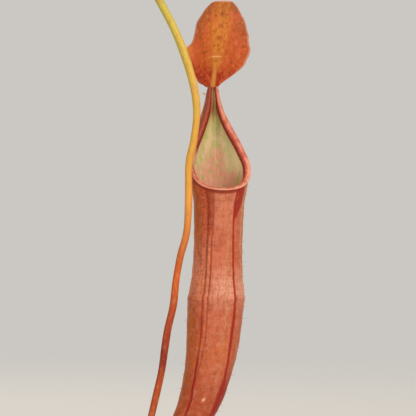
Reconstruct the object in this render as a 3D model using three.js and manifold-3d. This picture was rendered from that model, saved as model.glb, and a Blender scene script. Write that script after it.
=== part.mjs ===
// A tropical pitcher plant in a plain terracotta pot.
// Millimetres, +Z up. The origin is the centre of the pot's underside.
// Nine leaves climb a short stem. Each one's midrib runs on as a tendril, which hangs, turns up
// at its lower end and carries a pitcher there: a tall cup with a rim round its mouth, a lid
// over it and a small spur behind. The third leaf points along +X and has the largest pitcher.
import * as THREE from "three";
import { mergeVertices } from "three/addons/utils/BufferGeometryUtils.js";
import Module from "manifold-3d";

const { Vector2, Vector3 } = THREE;
const { clamp, degToRad, lerp, smoothstep } = THREE.MathUtils;

const GAP = 0.35; // between pieces that grow from or rest on each other

// Pot: a tapered wall with a thicker band round the mouth and drain holes in the floor.
const POT_HEIGHT = 112;
const POT_BASE_RADIUS = 46;
const POT_NECK_RADIUS = 61; // the tapered wall's own radius, carried up to the pot's top
const POT_BAND_RADIUS = 65;
const POT_BAND_HEIGHT = 24;
const POT_WALL = 5;
const POT_FLOOR = 7;
const POT_BAND_TAPER = 1; // the band's lower edge is this much narrower and bevelled
const POT_SIDES = 28;
const DRAIN_HOLES = 4;
const DRAIN_RADIUS = 5;
const DRAIN_CIRCLE = 27;
const DRAIN_SIDES = 12;

// Potting mix: fills the pot to a little below its rim, heaped slightly round the stem.
const MIX_EDGE_HEIGHT = 98;
const MIX_HEAP_HEIGHT = 101;
const MIX_HEAP_SHARE = 0.8; // how much of the heap's height is reached halfway in

// Stem: upright in the mix, sways a little above it, and is on the axis again at the third leaf.
const STEM_FOOT = 92;
const STEM_TOP = 262;
const STEM_FOOT_RADIUS = 4.6;
const STEM_TOP_RADIUS = 2.6;
const STEM_SWAY = 1.6;
const STEM_SIDE_SWAY = 1.12;
const STEM_SIDES = 8;
const STEM_STEPS = 16;

// Leaves: one every 14 mm up the stem, each turned by the golden angle from the last.
const FIRST_LEAF_HEIGHT = 147;
const LEAF_SPACING = 14;
const FIRST_LEAF_AZIMUTH = 85;
const GOLDEN_ANGLE = 137.5;
const LEAF_SEAT = 1.3; // from the stem's surface to the middle of the leaf's base
const MIDRIB_THICKNESS = 1.8;
const EDGE_THICKNESS = 0.9;
const LEAF_FOLD = 0.28; // how far the blade's halves lift, as a share of their width
const RISE_HANDLE = 0.52; // how far the arch keeps its first and its last slope, as shares of
const DROOP_HANDLE = 0.36; // the straight distance from foot to tip
const BLADE_STEPS = [4, 9]; // facets across and along, for leaves and lids
const LEAF_OUTLINE = [
  // [share of length, share of the greatest half-width]
  [0, 0.17],
  [0.12, 0.2],
  [0.3, 0.72],
  [0.5, 1],
  [0.72, 0.86],
  [0.9, 0.36],
  [1, 0.1],
];

// reach and tip: how far out and how high the blade ends. rise and droop: its slope at both ends.
// pitcher: what its tendril carries, size: as a share of the largest, twist: about the vertical.
const LEAVES = [
  { reach: 112, tip: 205, rise: 50, droop: -35, halfWidth: 20, pitcher: "open", size: 0.75, twist: 12 },
  { reach: 118, tip: 232, rise: 62, droop: -32, halfWidth: 21, pitcher: "open", size: 0.9, twist: -14 },
  { reach: 119.6, tip: 249.6, rise: 72, droop: -29, halfWidth: 21, pitcher: "open", size: 1, twist: 0 },
  { reach: 116, tip: 262, rise: 70, droop: -30, halfWidth: 20, pitcher: "open", size: 0.8, twist: 16 },
  { reach: 108, tip: 275, rise: 70, droop: -28, halfWidth: 19, pitcher: "closed", size: 0.6, twist: -10 },
  { reach: 78, tip: 318, rise: 78, droop: -12, halfWidth: 16, pitcher: "closed", size: 0.3, twist: 8 },
  { reach: 98, tip: 300, rise: 75, droop: -22, halfWidth: 17, pitcher: "closed", size: 0.42, twist: 14 },
  { reach: 66, tip: 335, rise: 80, droop: -3, halfWidth: 13, pitcher: "none", size: 1, twist: 0 },
  { reach: 42, tip: 345, rise: 83, droop: 6, halfWidth: 9, pitcher: "none", size: 0.8, twist: 0 },
];

// The largest pitcher, in its own frame: the origin is on the cup's axis, level with the front
// of the rim. -Y is towards the front, and its leaf ends at TENDRIL_ROUTE's first point.
const TENDRIL_RADIUS = 1.7;
const TENDRIL_SIDES = 5;
const TENDRIL_STEPS = 30;
const TENDRIL_ROUTE = [
  [-50.2, 0, 105],
  [-42.6, -0.3, 100.8],
  [-33.9, -2.5, 92.4],
  [-25.5, -5.5, 79.8],
  [-17.1, -8, 63],
  [-11.5, -8, 46.2],
  [-9.5, -8, 33.6],
  [-10.7, -8.5, 21],
  [-12.8, -9, 10.5],
  [-12.9, -9.5, -4.2],
  [-13.7, -10.5, -17.6],
  [-16.3, -12.5, -27.7],
  [-18.1, -14, -37.8],
  [-19.2, -15, -47.9],
  [-21.5, -16, -58],
  [-23, -17, -68],
  [-23.9, -17.4, -74.5],
  [-25.4, -18, -81.5],
  [-28.5, -19.2, -94.9],
  [-31.5, -20, -109.2],
  [-32.4, -19.5, -121.8],
  [-31.6, -16.6, -129.4],
  [-29.4, -12.4, -132.6],
  [-27.2, -9.3, -131.6],
  [-26.4, -8.1, -128.2],
];
// A young tendril, from its leaf's tip: it curls up at the end round a bud.
const YOUNG_TENDRIL_ROUTE = [
  [0, 0, 0],
  [10, 0, -0.5],
  [20, 1, -6],
  [27, 2, -18],
  [28, 3, -33],
  [24, 4, -47],
  [16, 5, -54],
  [8, 6, -51],
  [5, 7, -43],
  [9, 8, -36],
];
const YOUNG_TENDRIL_WIDTH = [
  // [share of its length, radius]: the bud is near its end
  [0, 1.3],
  [0.6, 1],
  [0.82, 1.1],
  [0.93, 1.9],
  [1, 0.6],
];
const YOUNG_TENDRIL_SIDES = 6;
const YOUNG_TENDRIL_STEPS = 18;

const CUP_SIDES = 20;
const CUP_WALL = 1.2;
const CUP_AXIS = [
  // [height, sideways, backwards]: straight above, curving aside to the tendril below
  [-127, -26.3, -8],
  [-121, -23.7, -6.5],
  [-112.6, -20, -5.2],
  [-103.7, -15.3, -4],
  [-94.9, -10.9, -2.8],
  [-88.2, -8.2, -2.2],
  [-78.1, -5.3, -1.5],
  [-67.2, -3.3, -0.8],
  [-54.6, -2.1, -0.2],
  [-34.4, -0.9, 0],
  [0, 0, 0],
];
const CUP_RADIUS = [
  // [height, radius]: a slim foot, a fuller lower half with a crest at the hip, a straight tube
  [-127, 2.1],
  [-121, 3.6],
  [-112.6, 5.7],
  [-103.7, 7.4],
  [-95, 8.6],
  [-81.5, 9.45],
  [-67, 10.9],
  [-54.6, 11.8],
  [-46, 12.1],
  [-41, 11.3],
  [-34.4, 10.5],
  [-21, 10.2],
  [-6, 10.7],
  [0, 12],
];
const CUP_BOTTOM = -127;
const CUP_HOLLOW_BOTTOM = -113;
const TUBE_TOP = -6; // above this the wall runs up to the rim
const OUTER_LEVELS = [-127, -118, -106, -94, -81, -67, -54.6, -46, -40, -25, -6, -4.2, -2.2, 0];
const INNER_LEVELS = [0, -2.2, -4.2, -6, -25, -40, -46, -67, -88, -104];

// Mouth: a rim round an oblique opening, level at the front and climbing to a neck at the back.
const MOUTH_YAW = 9; // degrees towards +X
const RIM_RADIUS = 1;
const RIM_END_RADIUS = 0.75;
const RIM_SEAT = 0.55; // from the rim to the wall that carries it
const RIM_SIDES = 6;
const RIM_STEPS = 26;
const NECK_HEIGHT = 43.8;
const NECK_LEAN = -1.3;
const RIM_HALF = [
  // [angle from the front, sideways, forwards, height]
  [0, 0, 12, 0.2],
  [45, 8.6, 8.8, 2.3],
  [90, 12.4, 1.5, 9.5],
  [120, 10.5, -4.2, 18],
  [145, 6.8, -7.4, 26.5],
  [165, 3.5, -8.8, 34.5],
  [180, 1.4, -9.3, NECK_HEIGHT],
];
const RIM = [
  ...RIM_HALF.slice(1)
    .reverse()
    .map(([angle, aside, forwards, height]) => [-angle, -aside, forwards, height]),
  ...RIM_HALF,
];
const BACK_OF_MOUTH = -10;
const BACK_FROM = 60; // between these angles from the front the wall stops leaning outwards
const BACK_FULLY = 120;
const NECK_FROM = 140; // from here the wall draws in behind the rim's two ends
const WALL_DROP = 12; // the wall under the rim is aimed at a point this far below it
const NECK_RISE = 0.4; // how far the wall stands above the rim's ends

// Lid: wedge-shaped at its foot, rounded at its end, with a notch in one edge. It stands over
// the neck.
const LID_LENGTH = 35.7;
const LID_THICKNESS = 0.9;
const LID_LEAN = 7; // degrees towards +X
const LID_CROWN = 2.6; // how far its edges bend back from its midline at CROWN_WIDTH from it
const CROWN_WIDTH = 13;
const LID_OUTLINE = [
  // [share of length, half-width on the left, half-width on the right]
  [0, 4.1, 2.3],
  [0.045, 6.8, 3.6],
  [0.1, 8, 5.7],
  [0.23, 11.2, 10.7],
  [0.34, 13.3, 12.9],
  [0.4, 13.4, 13.7],
  [0.48, 11.1, 14.2],
  [0.55, 10.5, 13.4],
  [0.7, 10.1, 11.9],
  [0.8, 8.8, 10.6],
  [0.9, 7, 8.1],
  [0.96, 5.2, 5.7],
  [1, 2.6, 3],
];

const SPUR_LENGTH = 4.6;
const SPUR_RADIUS = 0.55;
const SPUR_RISE = 0.35; // how far back it leads, as a share of its length
const SPUR_DROP = 1.9; // its foot's depth below the neck's top
const SPUR_ASIDE = 0.8;
const SPUR_SIDES = 6;
const SPUR_STEPS = 3;

// A young pitcher, still shut: slimmer, and closed by a slanting dome.
const CLOSED_SLIMNESS = 0.88;
const CLOSED_LEVELS = [-127, -112, -95, -75, -54.6, -40, -20, -6];
const CLOSED_DOME = [
  // [radius, height]
  [8.6, 0],
  [4.5, 3.4],
  [0, 4.6],
];
const CLOSED_SLANT = 0.9;
const SLANT_FROM = -30; // the height where the slant sets in
const CLOSED_SIDES = 12;

// The newest leaf, still rolled up on the stem's top.
const SHOOT_LENGTH = 58;
const SHOOT_RADIUS = 3;
const SHOOT_LEAN = [3, -2]; // how far its tip leans, towards +X and +Y
const SHOOT_WIDTH = [
  // [share of its length, share of its radius]
  [0, 0.75],
  [0.25, 1],
  [0.6, 0.7],
  [1, 0.12],
];
const SHOOT_STEPS = 8;

const wasm = await Module();
wasm.setup();

// The value of one column at t, on a smooth curve through stations whose first column is t.
function along(stations, t, column = 1) {
  const last = stations.length - 1;
  let low = 0;
  while (low < last - 1 && t > stations[low + 1][0]) {
    low += 1;
  }
  const slope = (station) => {
    const before = stations[Math.max(station - 1, 0)];
    const after = stations[Math.min(station + 1, last)];
    return (after[column] - before[column]) / (after[0] - before[0]);
  };
  const span = stations[low + 1][0] - stations[low][0];
  const share = clamp((t - stations[low][0]) / span, 0, 1);
  const ease = share * share * (3 - 2 * share);
  return (
    lerp(stations[low][column], stations[low + 1][column], ease) +
    slope(low) * span * share * (1 - share) ** 2 -
    slope(low + 1) * span * share ** 2 * (1 - share)
  );
}

// Moves each vertex of a geometry: place(point) changes the point in place.
function reshaped(geometry, place) {
  const position = geometry.getAttribute("position");
  const point = new Vector3();
  for (let i = 0; i < position.count; i += 1) {
    point.fromBufferAttribute(position, i);
    place(point);
    position.setXYZ(i, point.x, point.y, point.z);
  }
  geometry.computeVertexNormals();
  return geometry;
}

// A closed round rod along route(t), t from 0 to 1. Its sides are laid out from a direction
// that the route never runs along.
function rod(route, radius, sides, steps, reference) {
  const nudge = 1e-3;
  const cylinder = new THREE.CylinderGeometry(1, 1, 1, sides, steps);
  return reshaped(cylinder, (point) => {
    const t = clamp(point.y + 0.5, 0, 1);
    const ahead = route(Math.min(t + nudge, 1)).sub(route(Math.max(t - nudge, 0))).normalize();
    const across = ahead.clone().cross(reference).normalize();
    const other = across.clone().cross(ahead);
    const { x, z } = point;
    const r = radius(t);
    point.copy(route(t)).addScaledVector(across, x * r).addScaledVector(other, z * r);
  });
}

function solidOf(geometry) {
  const bare = geometry.clone();
  bare.deleteAttribute("normal");
  bare.deleteAttribute("uv");
  const merged = mergeVertices(bare, 1e-4);
  return new wasm.Manifold(
    new wasm.Mesh({
      numProp: 3,
      vertProperties: new Float32Array(merged.getAttribute("position").array),
      triVerts: new Uint32Array(merged.index.array),
    }),
  );
}

function geometryOf(solid) {
  const { vertProperties, triVerts } = solid.getMesh();
  const geometry = new THREE.BufferGeometry();
  geometry.setAttribute("position", new THREE.BufferAttribute(vertProperties, 3));
  geometry.setIndex(new THREE.BufferAttribute(triVerts, 1));
  geometry.computeVertexNormals();
  return geometry;
}

// A shape turned about Z from [radius, height] points.
function turned(points, sides) {
  const profile = points.map(([radius, height]) => new Vector2(radius, height));
  return new THREE.LatheGeometry(profile, sides).rotateX(Math.PI / 2);
}

const finish = (color, roughness) => new THREE.MeshStandardMaterial({ color, roughness, metalness: 0 });
const terracotta = () => finish(0xb4694a, 0.9);
const bark = () => finish(0x5b4330, 0.95);
const stemGreen = () => finish(0x7a7a3a, 0.7);
const leafGreen = () => finish(0x6f8a35, 0.5);
const tendrilGold = () => finish(0xd98f45, 0.5);
const cupSalmon = () => finish(0xc76a4c, 0.55);
const rimPink = () => finish(0xe08f74, 0.3);
const lidOrange = () => finish(0xcf6d2c, 0.5);
const youngGreen = () => finish(0xb59a4a, 0.55);
const spurCream = () => finish(0xe6d8b4, 0.6);

function mesh(name, geometry, material) {
  const made = new THREE.Mesh(geometry, material);
  made.name = name;
  return made;
}

// ---- Pot and potting mix ----

const potOutside = (height) => lerp(POT_BASE_RADIUS, POT_NECK_RADIUS, height / POT_HEIGHT);
const potInside = (height) => potOutside(height) - POT_WALL;

function pot() {
  const bandFoot = POT_HEIGHT - POT_BAND_HEIGHT;
  const body = turned(
    [
      [0, 0],
      [POT_BASE_RADIUS, 0],
      [potOutside(bandFoot), bandFoot],
      [POT_BAND_RADIUS - POT_BAND_TAPER, bandFoot + POT_BAND_TAPER],
      [POT_BAND_RADIUS, POT_HEIGHT],
      [potInside(POT_HEIGHT), POT_HEIGHT],
      [potInside(POT_FLOOR), POT_FLOOR],
      [0, POT_FLOOR],
    ],
    POT_SIDES,
  );
  let solid = solidOf(body);
  for (let i = 0; i < DRAIN_HOLES; i += 1) {
    const angle = (i * 2 * Math.PI) / DRAIN_HOLES;
    const hole = new THREE.CylinderGeometry(DRAIN_RADIUS, DRAIN_RADIUS, 3 * POT_FLOOR, DRAIN_SIDES);
    hole.rotateX(Math.PI / 2);
    hole.translate(DRAIN_CIRCLE * Math.cos(angle), DRAIN_CIRCLE * Math.sin(angle), 0);
    solid = solid.subtract(solidOf(hole));
  }
  return mesh("pot", geometryOf(solid), terracotta());
}

function pottingMix() {
  const floor = POT_FLOOR + GAP;
  const socket = STEM_FOOT_RADIUS + GAP;
  const geometry = turned(
    [
      [0, floor],
      [potInside(floor) - GAP, floor],
      [potInside(MIX_EDGE_HEIGHT) - GAP, MIX_EDGE_HEIGHT],
      [potInside(MIX_EDGE_HEIGHT) / 2, lerp(MIX_EDGE_HEIGHT, MIX_HEAP_HEIGHT, MIX_HEAP_SHARE)],
      [socket, MIX_HEAP_HEIGHT],
      [socket, STEM_FOOT],
      [0, STEM_FOOT],
    ],
    POT_SIDES,
  );
  return mesh("potting_mix", geometry, bark());
}

// ---- Stem and shoot ----

function stemCentre(height) {
  const halfWave = FIRST_LEAF_HEIGHT + 2 * LEAF_SPACING - MIX_HEAP_HEIGHT;
  const phase = (Math.PI * Math.max(height - MIX_HEAP_HEIGHT, 0)) / halfWave;
  return new Vector3(STEM_SWAY * Math.sin(phase), STEM_SIDE_SWAY * Math.sin(2 * phase), height);
}

const stemRadius = (height) =>
  lerp(STEM_FOOT_RADIUS, STEM_TOP_RADIUS, (height - STEM_FOOT) / (STEM_TOP - STEM_FOOT));

function mainStem() {
  const heightAt = (t) => lerp(STEM_FOOT + GAP, STEM_TOP, t);
  const geometry = rod(
    (t) => stemCentre(heightAt(t)),
    (t) => stemRadius(heightAt(t)),
    STEM_SIDES,
    STEM_STEPS,
    new Vector3(1, 0, 0),
  );
  return mesh("main_stem", geometry, stemGreen());
}

function rolledShoot() {
  const foot = stemCentre(STEM_TOP);
  const [x, y] = SHOOT_LEAN;
  const route = (t) => foot.clone().add(new Vector3(x * t * t, y * t * t, 1.5 * GAP + SHOOT_LENGTH * t));
  const radius = (t) => SHOOT_RADIUS * along(SHOOT_WIDTH, t);
  const geometry = rod(route, radius, STEM_SIDES, SHOOT_STEPS, new Vector3(1, 0, 0));
  return mesh("rolled_new_leaf", geometry, leafGreen());
}

// ---- Leaves ----

const leafAzimuth = (index) => degToRad(FIRST_LEAF_AZIMUTH + index * GOLDEN_ANGLE);

function leafTip(leaf, index) {
  const azimuth = leafAzimuth(index);
  return new Vector3(leaf.reach * Math.cos(azimuth), leaf.reach * Math.sin(azimuth), leaf.tip);
}

// The arch of a leaf's midrib, from the stem's surface to the blade's tip.
function leafMidrib(leaf, index) {
  const azimuth = leafAzimuth(index);
  const base = FIRST_LEAF_HEIGHT + index * LEAF_SPACING;
  const outward = new Vector3(Math.cos(azimuth), Math.sin(azimuth), 0);
  const towards = (slope) =>
    outward.clone().multiplyScalar(Math.cos(degToRad(slope))).setZ(Math.sin(degToRad(slope)));
  const foot = stemCentre(base).addScaledVector(outward, stemRadius(base) + LEAF_SEAT);
  const tip = leafTip(leaf, index);
  const span = foot.distanceTo(tip);
  return new THREE.CubicBezierCurve3(
    foot,
    foot.clone().addScaledVector(towards(leaf.rise), RISE_HANDLE * span),
    tip.clone().addScaledVector(towards(leaf.droop), -DROOP_HANDLE * span),
    tip,
  );
}

function leafBlade(leaf, index) {
  const midrib = leafMidrib(leaf, index);
  const box = new THREE.BoxGeometry(2, 1, 1, ...BLADE_STEPS, 1);
  const up = new Vector3(0, 0, 1);
  const geometry = reshaped(box, (point) => {
    const t = point.y + 0.5;
    const aside = point.x;
    const ahead = midrib.getTangent(t);
    const side = ahead.clone().cross(up).normalize();
    const top = side.clone().cross(ahead);
    const halfWidth = leaf.halfWidth * along(LEAF_OUTLINE, t);
    const thickness = lerp(MIDRIB_THICKNESS, EDGE_THICKNESS, Math.abs(aside) * Math.sin(Math.PI * t));
    const lift = LEAF_FOLD * Math.abs(aside) * halfWidth + point.z * thickness;
    point.copy(midrib.getPoint(t)).addScaledVector(side, aside * halfWidth).addScaledVector(top, lift);
  });
  return mesh(`leaf_${index + 1}`, geometry, leafGreen());
}

// ---- Tendrils ----

function curveThrough(points) {
  return new THREE.CatmullRomCurve3(points.map((p) => new Vector3(...p)), false, "catmullrom", 0.5);
}

// A smaller pitcher's tendril isn't thinner in the same measure, so its radius grows as its
// group shrinks. It starts further from the leaf's tip where it leaves it at an angle.
function tendril({ size, twist }) {
  const curve = curveThrough(TENDRIL_ROUTE);
  const radius = TENDRIL_RADIUS / Math.sqrt(size);
  const start = (GAP / size + radius * Math.sin(degToRad(Math.abs(twist)))) / curve.getLength();
  const route = (t) => curve.getPointAt(lerp(start, 1, t));
  return rod(route, () => radius, TENDRIL_SIDES, TENDRIL_STEPS, new Vector3(1, 0, 0));
}

function youngTendril() {
  const curve = curveThrough(YOUNG_TENDRIL_ROUTE);
  const start = (1.5 * GAP) / curve.getLength();
  return rod(
    (t) => curve.getPointAt(lerp(start, 1, t)),
    (t) => along(YOUNG_TENDRIL_WIDTH, t),
    YOUNG_TENDRIL_SIDES,
    YOUNG_TENDRIL_STEPS,
    new Vector3(0, 1, 0),
  );
}

// ---- Pitchers, in the largest pitcher's own frame ----

// A point by its distances sideways, forwards and up from the front of the mouth's level.
function mouthPoint(aside, forwards, height) {
  const yaw = degToRad(MOUTH_YAW);
  const lean = NECK_LEAN * (Math.max(height, 0) / NECK_HEIGHT) ** 2;
  return new Vector3(
    aside * Math.cos(yaw) + forwards * Math.sin(yaw) + lean,
    aside * Math.sin(yaw) - forwards * Math.cos(yaw),
    height,
  );
}

const rimRadius = (angle) =>
  lerp(RIM_RADIUS, RIM_END_RADIUS, smoothstep(Math.abs(angle), NECK_FROM, 180));
const rimPoint = (angle) => mouthPoint(along(RIM, angle, 1), along(RIM, angle, 2), along(RIM, angle, 3));

// Where the cup's wall ends under the rim, and the way out of the wall there.
function wallTop(angle) {
  const nudge = 0.5;
  const turn = Math.abs(angle);
  const atBack = smoothstep(turn, BACK_FROM, BACK_FULLY);
  const atNeck = smoothstep(turn, NECK_FROM, 180);
  const [aside, forwards, height] = [1, 2, 3].map((column) => along(RIM, angle, column));
  const ahead = rimPoint(Math.min(angle + nudge, 180))
    .sub(rimPoint(Math.max(angle - nudge, -180)))
    .normalize();
  const below = mouthPoint(
    aside * (1 - atBack),
    lerp(forwards, BACK_OF_MOUTH, atBack),
    height - WALL_DROP,
  );
  const into = below.sub(rimPoint(angle));
  into.addScaledVector(ahead, -into.dot(ahead)).normalize();
  const outward = into.clone().cross(ahead).normalize();
  const backwards = mouthPoint(0, -1, 0);
  into.lerp(backwards, atNeck).normalize();
  outward.lerp(backwards, atNeck).normalize();
  const distance = rimRadius(angle) + RIM_SEAT + (atNeck * CUP_WALL) / 2;
  const edge = mouthPoint(aside * (1 - atNeck), forwards, height + NECK_RISE * atNeck);
  return { edge: edge.addScaledVector(into, distance), outward };
}

// A cup turned straight about Z is bent along its axis, and its top is drawn up to the rim.
function bendCup(point) {
  const angle = Math.atan2(point.x, -point.y);
  const radius = Math.hypot(point.x, point.y);
  const level = point.z;
  const wallRadius = along(CUP_RADIUS, level);
  const tube = mouthPoint(radius * Math.sin(angle), radius * Math.cos(angle), Math.min(level, TUBE_TOP));
  tube.x += along(CUP_AXIS, tube.z, 1);
  tube.y += along(CUP_AXIS, tube.z, 2);
  point.copy(tube);
  if (level > TUBE_TOP) {
    const rise = 1 - level / TUBE_TOP;
    const { edge, outward } = wallTop(THREE.MathUtils.radToDeg(angle));
    edge.addScaledVector(outward, radius - (wallRadius - CUP_WALL / 2));
    point.lerp(edge, rise);
  }
}

function cup() {
  const outside = OUTER_LEVELS.map((level) => [along(CUP_RADIUS, level), level]);
  const inside = INNER_LEVELS.map((level) => [along(CUP_RADIUS, level) - CUP_WALL, level]);
  const profile = [[0, CUP_BOTTOM], ...outside, ...inside, [0, CUP_HOLLOW_BOTTOM]];
  return reshaped(turned(profile, CUP_SIDES), bendCup);
}

function rim() {
  const angle = (t) => lerp(-180, 180, t);
  return rod(
    (t) => rimPoint(angle(t)),
    (t) => rimRadius(angle(t)),
    RIM_SIDES,
    RIM_STEPS,
    new Vector3(0, 1, 0),
  );
}

function lid() {
  const foot = wallTop(180).edge.add(new Vector3(0, 0, GAP));
  const lean = degToRad(LID_LEAN);
  const box = new THREE.BoxGeometry(2, 1, LID_THICKNESS, ...BLADE_STEPS, 1);
  return reshaped(box, (point) => {
    const t = point.y + 0.5;
    const width = along(LID_OUTLINE, t, point.x < 0 ? 1 : 2);
    const aside = point.x * width;
    const length = LID_LENGTH * t;
    const crown = LID_CROWN * (aside / CROWN_WIDTH) ** 2 - point.z;
    point.set(
      aside * Math.cos(lean) + length * Math.sin(lean),
      crown,
      length * Math.cos(lean) - aside * Math.sin(lean),
    );
    point.add(foot);
  });
}

function spur() {
  const foot = wallTop(180).edge.add(new Vector3(-SPUR_ASIDE, CUP_WALL / 2 + GAP, -SPUR_DROP));
  const backwards = (t) => SPUR_RISE * SPUR_LENGTH * t + SPUR_RADIUS;
  const route = (t) => foot.clone().add(new Vector3(-SPUR_LENGTH * t, backwards(t), t * t));
  const radius = (t) => SPUR_RADIUS * lerp(1, 0.4, t);
  return rod(route, radius, SPUR_SIDES, SPUR_STEPS, new Vector3(0, 0, 1));
}

// A young pitcher is one closed body: its lid is still shut over its mouth.
function closedPitcher() {
  const body = CLOSED_LEVELS.map((level) => [CLOSED_SLIMNESS * along(CUP_RADIUS, level), level]);
  const profile = [[0, CUP_BOTTOM], ...body, ...CLOSED_DOME];
  return reshaped(turned(profile, CLOSED_SIDES), (point) => {
    const slant = CLOSED_SLANT * smoothstep(point.z, SLANT_FROM, 0) * point.y;
    point.x += along(CUP_AXIS, point.z, 1);
    point.y += along(CUP_AXIS, point.z, 2);
    point.z += slant;
  });
}

// What hangs from a leaf's tip, in a group that places it there at its own size.
function hanging(leaf, index) {
  const name = (piece) => `pitcher_${index + 1}_${piece}`;
  const group = new THREE.Group();
  group.position.copy(leafTip(leaf, index));
  group.rotation.z = leafAzimuth(index) + degToRad(leaf.twist);
  group.scale.setScalar(leaf.size);
  if (leaf.pitcher === "none") {
    group.add(mesh(`tendril_${index + 1}`, youngTendril(), youngGreen()));
    return group;
  }
  const frame = new THREE.Group();
  frame.position.set(...TENDRIL_ROUTE[0]).negate();
  frame.add(mesh(`tendril_${index + 1}`, tendril(leaf), tendrilGold()));
  if (leaf.pitcher === "closed") {
    frame.add(mesh(name("closed"), closedPitcher(), youngGreen()));
  } else {
    frame.add(mesh(name("cup"), cup(), cupSalmon()));
    frame.add(mesh(name("rim"), rim(), rimPink()));
    frame.add(mesh(name("lid"), lid(), lidOrange()));
    frame.add(mesh(name("spur"), spur(), spurCream()));
  }
  group.add(frame);
  return group;
}

const plant = new THREE.Group();
plant.add(pot(), pottingMix(), mainStem(), rolledShoot());
LEAVES.forEach((leaf, index) => {
  plant.add(leafBlade(leaf, index), hanging(leaf, index));
});

export default plant;
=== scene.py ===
# %% [markdown]
# # A potted pitcher plant, made piece by piece
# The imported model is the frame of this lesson: it holds the place and size of every piece.
# Each cell below makes one kind of piece as a fine skin and lets it stand for the plain solids.
# Lengths are written in millimetres, as a grower measures them, and become metres in the mesh.

# %% Load the frame
import math

import bmesh
import bpy
import numpy as np
from mathutils import Matrix, Vector, noise


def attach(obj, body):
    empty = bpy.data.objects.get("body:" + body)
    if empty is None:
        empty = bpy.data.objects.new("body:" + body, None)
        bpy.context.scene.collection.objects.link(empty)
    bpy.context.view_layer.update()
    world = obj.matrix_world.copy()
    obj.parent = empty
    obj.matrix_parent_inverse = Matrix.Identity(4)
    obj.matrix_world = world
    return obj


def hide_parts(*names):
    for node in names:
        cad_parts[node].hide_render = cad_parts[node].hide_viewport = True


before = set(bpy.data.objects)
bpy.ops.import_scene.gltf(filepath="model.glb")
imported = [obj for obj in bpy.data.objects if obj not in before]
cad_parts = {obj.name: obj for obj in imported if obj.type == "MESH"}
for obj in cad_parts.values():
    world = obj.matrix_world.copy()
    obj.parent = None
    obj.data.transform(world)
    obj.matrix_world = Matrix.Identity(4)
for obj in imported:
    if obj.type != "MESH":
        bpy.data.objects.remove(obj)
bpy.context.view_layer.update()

MM = 0.001
print(f"frame: {len(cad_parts)} solids")

# %% [markdown]
# ## Camera
# The photograph looks level at one hanging pitcher, which fills its height. A long lens from over
# a metre away keeps the tube's sides straight. The lens is worked out from the width that the
# frame has to cover, so it follows if the distance changes.

# %% Place the camera
FRAME_WIDTH = 416 * 0.42 * MM  # the photograph's pixels, each 0.42 mm at the pitcher
VIEW_CENTRE = Vector((165, 0, 137)) * MM
VIEW_DISTANCE = 1.25
SENSOR_WIDTH = 36

camera = bpy.data.objects.new("camera", bpy.data.cameras.new("camera"))
bpy.context.scene.collection.objects.link(camera)
camera.data.sensor_width = SENSOR_WIDTH
camera.data.lens = SENSOR_WIDTH * VIEW_DISTANCE / FRAME_WIDTH
camera.location = VIEW_CENTRE - Vector((0, VIEW_DISTANCE, 0))
camera.rotation_euler = (math.pi / 2, 0, 0)
bpy.context.scene.camera = camera
print(f"lens {camera.data.lens:.0f} mm from {VIEW_DISTANCE} m")

# %% [markdown]
# ## Nodes and colours
# Shaders and Geometry Nodes are both trees of nodes, so one small function serves both: it adds a
# node, sets its own properties and then its inputs. An input takes a plain value, a hex colour, a
# socket, or a node, which stands for that node's first live output.

# %% Helpers for node trees
def colour(hexadecimal):
    """An sRGB hex colour as the linear values that a shader takes."""
    channels = [int(hexadecimal[i : i + 2], 16) / 255 for i in (1, 3, 5)]
    return (*[c / 12.92 if c <= 0.04045 else ((c + 0.055) / 1.055) ** 2.4 for c in channels], 1)


def plug(tree, made, inputs):
    """Fills a node's inputs, each given by its name or its number."""
    for name, value in inputs.items():
        live = [s for s in made.inputs if s.enabled and s.name == name]
        socket = made.inputs[name] if isinstance(name, int) else live[0]
        if isinstance(value, bpy.types.Node):
            value = next(s for s in value.outputs if s.enabled)
        if isinstance(value, bpy.types.NodeSocket):
            tree.links.new(value, socket)
        else:
            is_colour = isinstance(value, str) and value.startswith("#")
            socket.default_value = colour(value) if is_colour else value


def node(tree, kind, inputs=None, stops=(), **settings):
    """Adds a node. stops are a colour ramp's (place, hex colour) pairs."""
    made = tree.nodes.new(kind)
    for name, value in settings.items():
        setattr(made, name, value)
    for i, (place, tint) in enumerate(stops):
        ramp = made.color_ramp.elements
        element = ramp[i] if i < 2 else ramp.new(place)
        element.position = place
        element.color = colour(tint)
    plug(tree, made, inputs or {})
    return made


# %% [markdown]
# ## Studio
# The plant stands on a plain pale floor in soft light. The key light comes from the right, as in
# the photograph, where the tube's right side is pink and bright and its left side brown. The floor
# fades into the pale surroundings some way off, so no horizon crosses behind the pitcher.

# %% Light and floor
SURROUNDINGS = "#cbc8c3"
FLOOR_SIZE = 12
FADE_FROM = 0.55
FADE_TO = 1.6
LAMPS = [
    # (name, place from the view's centre in metres, size, power in watts, colour)
    ("key", (1, -1.2, 0.8), 0.9, 17, "#fff3e6"),
    ("fill", (-1.1, -1.4, 0.5), 1.2, 8, "#fff8f0"),
    ("back", (-0.5, 1.4, 1.1), 0.8, 9, "#fffaf4"),
]


def light_studio():
    for name, place, size, power, tint in LAMPS:
        lamp = bpy.data.objects.new(name, bpy.data.lights.new(name, "AREA"))
        bpy.context.scene.collection.objects.link(lamp)
        lamp.data.size = size
        lamp.data.energy = power
        lamp.data.color = colour(tint)[:3]
        lamp.location = VIEW_CENTRE + Vector(place)
        lamp.rotation_euler = (-Vector(place)).to_track_quat("-Z", "Y").to_euler()
        lamp.visible_camera = False
    world = bpy.data.worlds.new("studio")
    world.use_nodes = True
    plug(world.node_tree, world.node_tree.nodes["Background"], {"Color": SURROUNDINGS})
    bpy.context.scene.world = world
    bpy.context.scene.view_settings.view_transform = "Standard"


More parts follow.
